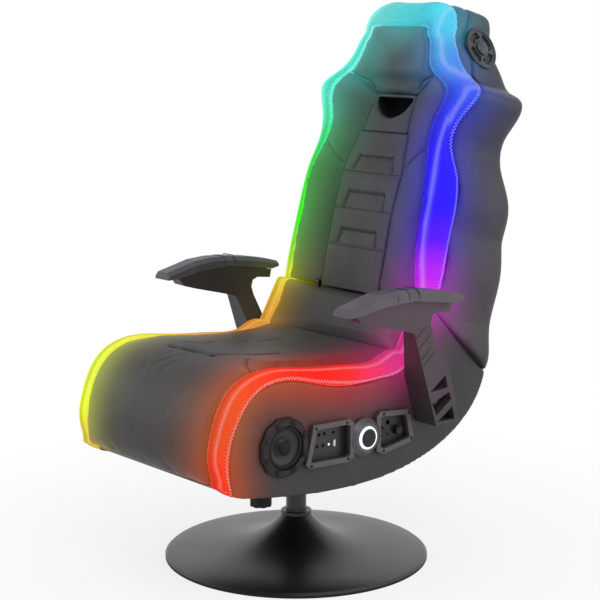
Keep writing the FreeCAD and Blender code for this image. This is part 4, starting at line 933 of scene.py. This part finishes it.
def stitch(name, edge, inward, body):
    """A zig-zag on a strip beside its edge; inward points from the edge onto the strip."""
    surface = surface_of(strips[name])
    line, normals = laid_on(surface, path_points([p + i * STITCH_IN for p, i in zip(edge, inward)], STITCH_STEP))
    across = np.cross(normals, np.gradient(line, axis=0))
    across /= np.maximum(np.linalg.norm(across, axis=1, keepdims=True), 1e-9)
    swing = np.where(np.arange(len(line)) % 2, STITCH_HALF, -STITCH_HALF)[:, None]
    vertices, faces = tube_mesh([laid_on(surface, line + across * swing, STITCH_THICKNESS)[0]], STITCH_THICKNESS, 4)
    light_strip(add_piece(f"stitches_{name}", vertices, faces, stitch_thread, body))
    print(f"{name}: {len(line)} stitches")


OUT_FRONT = -Vector((0, math.cos(LEAN), -math.sin(LEAN)))
edge = [on_back(u, n, v) for u, n, v in BACK_EDGE + HEAD_EDGE]
edge += [on_back(-u, n, v) for u, n, v in BACK_EDGE[::-1]]
stitch("back_edge", edge, [OUT_FRONT] * len(edge), "back")
for side, sign in (("left", 1), ("right", -1)):
    edge = [on_seat(sign * 226, y, h) for y, h in SEAT_EDGE]
    middle = on_seat(sign * 226, -100, 120)
    stitch(f"seat_strip_{side}", edge, [(place - middle).normalized() for place in edge], "seat")

# %% [markdown]
# ## Hard details
#
# The small hard parts are modelled with Blender's own mesh operators, as by hand. An operator acts
# on whatever is selected, so two helpers clear the selection and pick faces by place and normal. A
# part that repeats is modelled once, copied to its places and joined into one piece.

# %%
# Selecting, and copying to places
def clear_selection():
    if bpy.context.mode != "OBJECT":
        bpy.ops.object.mode_set(mode="OBJECT")
    bpy.ops.object.select_all(action="DESELECT")


def select_faces(test):
    """In edit mode, select the faces whose centre and normal pass a test."""
    if bpy.context.mode != "EDIT_MESH":
        bpy.ops.object.mode_set(mode="EDIT")
    bpy.ops.mesh.select_mode(type="FACE")
    bpy.ops.mesh.select_all(action="DESELECT")
    shape = bmesh.from_edit_mesh(bpy.context.object.data)
    for face in shape.faces:
        face.select_set(bool(test(face.calc_center_median(), face.normal)))
    bmesh.update_edit_mesh(bpy.context.object.data)


def facing(place, out, up=(0, 0, 1)):
    """A matrix that sets a part, modelled on +Z, at a place, facing out."""
    out = Vector(out).normalized()
    side = Vector(up).cross(out).normalized()
    matrix = Matrix((side, out.cross(side), out)).transposed().to_4x4()
    matrix.translation = place
    return matrix


def set_copies(template, name, matrices, material, body):
    """Copies of a modelled part at some places, joined into one piece."""
    clear_selection()
    for matrix in matrices:
        part = template.copy()
        part.data = template.data.copy()
        scene.collection.objects.link(part)
        part.matrix_world = matrix
        part.select_set(True)
        bpy.context.view_layer.objects.active = part
    bpy.ops.object.transform_apply(location=True, rotation=True, scale=True)
    if len(matrices) > 1:
        bpy.ops.object.join()
    piece = bpy.context.object
    piece.name = piece.data.name = name
    piece.data.materials.clear()
    piece.data.materials.append(material)
    bpy.ops.object.shade_smooth_by_angle(angle=math.radians(35))
    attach(piece, body)
    clear_selection()
    print(f"{name}: {len(matrices)} set")


# %% [markdown]
# A pan head screw is a short cylinder whose upper rim is bevelled round and whose drive is inset
# and sunk. The same screw holds the loudspeaker frames and the panel.

# %%
# Screws of the panel
def model_screw(radius, height):
    clear_selection()
    bpy.ops.mesh.primitive_cylinder_add(vertices=16, radius=radius, depth=height, location=(0, 0, height / 2))
    select_faces(lambda centre, normal: normal.z > 0.9)
    bpy.ops.mesh.bevel(offset=height * 0.45, segments=2, affect="EDGES")
    select_faces(lambda centre, normal: normal.z > 0.99)
    bpy.ops.mesh.inset(thickness=radius * 0.28)
    bpy.ops.mesh.extrude_region_move(TRANSFORM_OT_translate={"value": (0, 0, -height * 0.55)})
    clear_selection()
    return bpy.context.object


FRAME_FACE = 236
SCREW_PLACES = ((-152, 131), (-76, 130), (-164, 62), (-73, 60), (18, 131), (84, 124), (91, 72), (18, 59))
screw = model_screw(0.0031, 0.0018)
set_copies(screw, "screws_panel", [facing(on_seat(FRAME_FACE, y, h), (1, 0, 0)) for y, h in SCREW_PLACES], rubber,
           "seat")

print("Screws of the panel:", len(SCREW_PLACES))

# %% [markdown]
# The loudspeakers of the seat have a faceted frame with bolting lugs, a rubber roll round the cone
# and a domed cap in the middle.

# %%
# Loudspeakers of the seat
SPEAKER_Y, SPEAKER_H = -224, 107


def model_lug():
    """A block, drawn in towards its top, with rounded edges."""
    clear_selection()
    bpy.ops.mesh.primitive_cube_add(size=1, location=(0, 0, 0.5))
    bpy.ops.transform.resize(value=(0.012, 0.010, 0.0038), center_override=(0, 0, 0))
    bpy.ops.object.transform_apply(location=True, rotation=True, scale=True)
    select_faces(lambda centre, normal: normal.z > 0.9)
    bpy.ops.transform.resize(value=(0.8, 0.72, 1))
    bpy.ops.mesh.select_all(action="SELECT")
    bpy.ops.mesh.bevel(offset=0.0006, segments=2, affect="EDGES")
    clear_selection()
    return bpy.context.object


def model_ring(major, minor, flat, cut):
    """A torus, flattened and cut off below, closed underneath."""
    clear_selection()
    bpy.ops.mesh.primitive_torus_add(major_segments=48, minor_segments=12, major_radius=major, minor_radius=minor)
    select_faces(lambda centre, normal: True)
    bpy.ops.transform.resize(value=(1, 1, flat))
    bpy.ops.mesh.bisect(plane_co=(0, 0, cut), plane_no=(0, 0, 1), use_fill=True, clear_inner=True)
    clear_selection()
    return bpy.context.object


def model_cap(radius):
    """A flat dome, closed underneath."""
    clear_selection()
    bpy.ops.mesh.primitive_uv_sphere_add(segments=32, ring_count=16, radius=radius)
    select_faces(lambda centre, normal: True)
    bpy.ops.mesh.bisect(plane_co=(0, 0, radius / 4), plane_no=(0, 0, 1), use_fill=True, clear_inner=True)
    bpy.ops.mesh.select_all(action="SELECT")
    bpy.ops.transform.resize(value=(1, 1, 0.45))
    clear_selection()
    return bpy.context.object


def round_speaker(radius, x, count, turn):
    """Places round both seat loudspeakers' axes, each with its up pointing outwards."""
    matrices = []
    for sign in (-1, 1):
        for i in range(count):
            angle = turn + 2 * math.pi * i / count
            up = Vector((0, math.cos(angle), math.sin(angle)))
            matrices.append(facing(on_seat(sign * x, SPEAKER_Y, SPEAKER_H) + up * radius, (sign, 0, 0), up))
    return matrices


lug, surround, cap = model_lug(), model_ring(0.0365, 0.0042, 0.75, 0), model_cap(0.0150)
set_copies(lug, "speaker_lugs", round_speaker(0.0475, FRAME_FACE - 0.5, 8, 0.39), black_plastic, "seat")
set_copies(screw, "speaker_screws", round_speaker(0.0475, FRAME_FACE + 3, 8, 0.39), rubber, "seat")
set_copies(surround, "speaker_surrounds", round_speaker(0, 231.4, 1, 0), rubber, "seat")
set_copies(cap, "speaker_caps", round_speaker(0, 226, 1, 0), rubber, "seat")

# %% [markdown]
# The head loudspeakers sit at an angle in the sides of the head. Their frames get a raised rim and
# four screws.

# %%
# Head loudspeakers
HEAD_TILT = math.radians(24)


def on_head_speaker(sign, along, rise, lift):
    """A place on a head loudspeaker's face, in millimetres from its middle."""
    turn = Matrix.Rotation(-LEAN, 3, "X")
    out = turn @ Vector((sign * math.cos(HEAD_TILT), 0, math.sin(HEAD_TILT)))
    up = turn @ Vector((-sign * math.sin(HEAD_TILT), 0, math.cos(HEAD_TILT)))
    place = on_back(sign * 132, 100, 547) + out * (4 + lift) / 1000 - OUT_FRONT * along / 1000 + up * rise / 1000
    return facing(place, out, up)


rim = model_ring(0.0405, 0.0024, 1, -0.0004)
core = model_cap(0.0160)
set_copies(rim, "head_speaker_rims", [on_head_speaker(s, 0, 0, 0.2) for s in (-1, 1)], slate_plastic, "back")
set_copies(core, "head_speaker_caps", [on_head_speaker(s, 0, 0, -4) for s in (-1, 1)], slate_plastic, "back")
set_copies(screw, "head_speaker_screws", [on_head_speaker(s, a, b, 0) for s in (-1, 1)
                                          for a, b in ((25, 4), (-4, 25), (-25, -4), (4, -25))], rubber, "back")

# %% [markdown]
# Rings round the jack sockets, and ribbed caps on the two knobs. A cap is a cylinder whose every
# other side face is drawn out into a rib.

# %%
# Panel details
PANEL_FLOOR = 220
SOCKETS = [(-132, 113), (-119, 113), (-97, 112), (-137, 91), (-122, 91)]


def model_knob_cap(radius, height):
    clear_selection()
    bpy.ops.mesh.primitive_cylinder_add(vertices=32, radius=radius, depth=height, location=(0, 0, height / 2))
    step = 2 * math.pi / 32
    select_faces(lambda c, n: abs(n.z) < 0.1 and int(math.floor(math.atan2(c.y, c.x) / step)) % 2 == 0)
    bpy.ops.mesh.extrude_faces_move(TRANSFORM_OT_shrink_fatten={"value": 0.0006})
    select_faces(lambda c, n: n.z > 0.9)
    bpy.ops.mesh.inset(thickness=radius * 0.22)
    bpy.ops.transform.translate(value=(0, 0, -height * 0.12))
    clear_selection()
    return bpy.context.object


socket_ring = model_ring(0.0027, 0.0008, 1, -0.0005)
set_copies(socket_ring, "socket_rings", [facing(on_seat(PANEL_FLOOR, y, h), (1, 0, 0)) for y, h in SOCKETS],
           rubber, "seat")
for name, body, radius, y, h in (("cap_volume", "volume", 0.0094, 21, 94), ("cap_bass", "bass", 0.0084, 64, 91)):
    knob_cap = model_knob_cap(radius, 0.0106)
    set_copies(knob_cap, name, [facing(on_seat(PANEL_FLOOR + 1, y, h), (1, 0, 0))], black_plastic, body)
    bpy.data.objects.remove(knob_cap)
for template in (screw, lug, surround, cap, rim, core, socket_ring):
    bpy.data.objects.remove(template)

# %% [markdown]
# The arms have three narrow grooves across the soft top and four on the strut's outer face, where
# the real mouldings meet. Each is drawn as a thin dark tube on the surface, as painted shade.

# %%
# Painted shade of the arms' grooves
STRUT_GROOVES = [((53, 279), (80, 300)), ((61, 258), (87, 280)), ((70, 237), (95, 261)), ((73, 225), (105, 249))]
for side, sign in (("left", 1), ("right", -1)):
    lines = [[on_seat(sign * 283.8, *low), on_seat(sign * 283.8, *high)] for low, high in STRUT_GROOVES]
    for y in (-8, 20, 46):
        run = ((252.2, 358), (252.2, 368.5), (260.5, 376.5), (290.5, 376.5), (298.8, 368.5), (298.8, 358))
        lines.append([on_seat(sign * x, y, h) for x, h in run])
    vertices, faces = tube_mesh(lines, 0.0008)
    add_piece(f"arm_groove_shade_{side}", vertices, faces, rubber, "seat")

# %% [markdown]
# ## Studio
#
# A white floor and a white surround, with soft lights on both sides so that the pedestal shows
# pale flanks and a dark middle.

# %%
# World, lights and floor
world = bpy.data.worlds.new("studio")
scene.world = world
world.use_nodes = True
tree = world.node_tree
tree.nodes.clear()
path = tree.nodes.new("ShaderNodeLightPath")
grey = tree.nodes.new("ShaderNodeBackground")
grey.inputs["Color"].default_value = (0.62, 0.63, 0.65, 1)
grey.inputs["Strength"].default_value = 0.75
white = tree.nodes.new("ShaderNodeBackground")
white.inputs["Color"].default_value = (1, 1, 1, 1)
white.inputs["Strength"].default_value = 1.0
mix = tree.nodes.new("ShaderNodeMixShader")
out = tree.nodes.new("ShaderNodeOutputWorld")
white_share = path.outputs["Is Camera Ray"]
for ray in ("Is Glossy Ray", "Is Transmission Ray"):
    either = tree.nodes.new("ShaderNodeMath")
    either.operation = "ADD"
    either.use_clamp = True
    tree.links.new(white_share, either.inputs[0])
    tree.links.new(path.outputs[ray], either.inputs[1])
    white_share = either.outputs["Value"]
tree.links.new(white_share, mix.inputs["Fac"])
tree.links.new(grey.outputs["Background"], mix.inputs[1])
tree.links.new(white.outputs["Background"], mix.inputs[2])
tree.links.new(mix.outputs["Shader"], out.inputs["Surface"])


def add_light(name, place, target, size, power):
    """A square soft light that looks at a target."""
    data = bpy.data.lights.new(name, "AREA")
    data.size = size
    data.energy = power
    lamp = bpy.data.objects.new(name, data)
    scene.collection.objects.link(lamp)
    lamp.location = place
    lamp.rotation_euler = (Vector(target) - Vector(place)).to_track_quat("-Z", "Y").to_euler()
    return lamp


add_light("key_light", (2.6, -1.2, 3.0), (0, 0, 0.5), 1.6, 38)
add_light("left_light", (-2.6, -2.2, 1.6), (0, 0, 0.4), 1.8, 18)
add_light("right_light", (2.4, 2.0, 1.2), (0, 0, 0.4), 1.6, 18)

bpy.ops.object.select_all(action="DESELECT")
bpy.ops.mesh.primitive_plane_add(size=24, location=(0, 0, 0))
floor = bpy.context.object
floor.name = "studio_floor"
floor_paint = new_material("floor_white_matt", "#f2f2f2", 0.95, specular=0.0)
reach = add_node(floor_paint, "ShaderNodeVectorMath", {0: object_place(floor_paint)}, operation="LENGTH")
fade = add_node(floor_paint, "ShaderNodeMapRange", {"Value": reach.outputs["Value"]}, From_Min=0.3, From_Max=1.1,
                To_Min=0.8, To_Max=1.0).outputs["Result"]
rays = add_node(floor_paint, "ShaderNodeLightPath").outputs
by_eye = add_node(floor_paint, "ShaderNodeMath", {0: rays["Is Camera Ray"], 1: rays["Is Glossy Ray"]},
                  operation="ADD", use_clamp=True).outputs["Value"]
share = add_node(floor_paint, "ShaderNodeMath", {0: by_eye, 1: fade}, operation="MULTIPLY").outputs["Value"]
plain_white = add_node(floor_paint, "ShaderNodeEmission").outputs["Emission"]
floor_mix = add_node(floor_paint, "ShaderNodeMixShader", {"Fac": share, 1: shader_of(floor_paint).outputs["BSDF"],
                                                          2: plain_white})
floor_paint.node_tree.links.new(floor_mix.outputs["Shader"],
                                floor_paint.node_tree.nodes["Material Output"].inputs["Surface"])
floor.data.materials.append(floor_paint)

scene.view_settings.view_transform = "Standard"
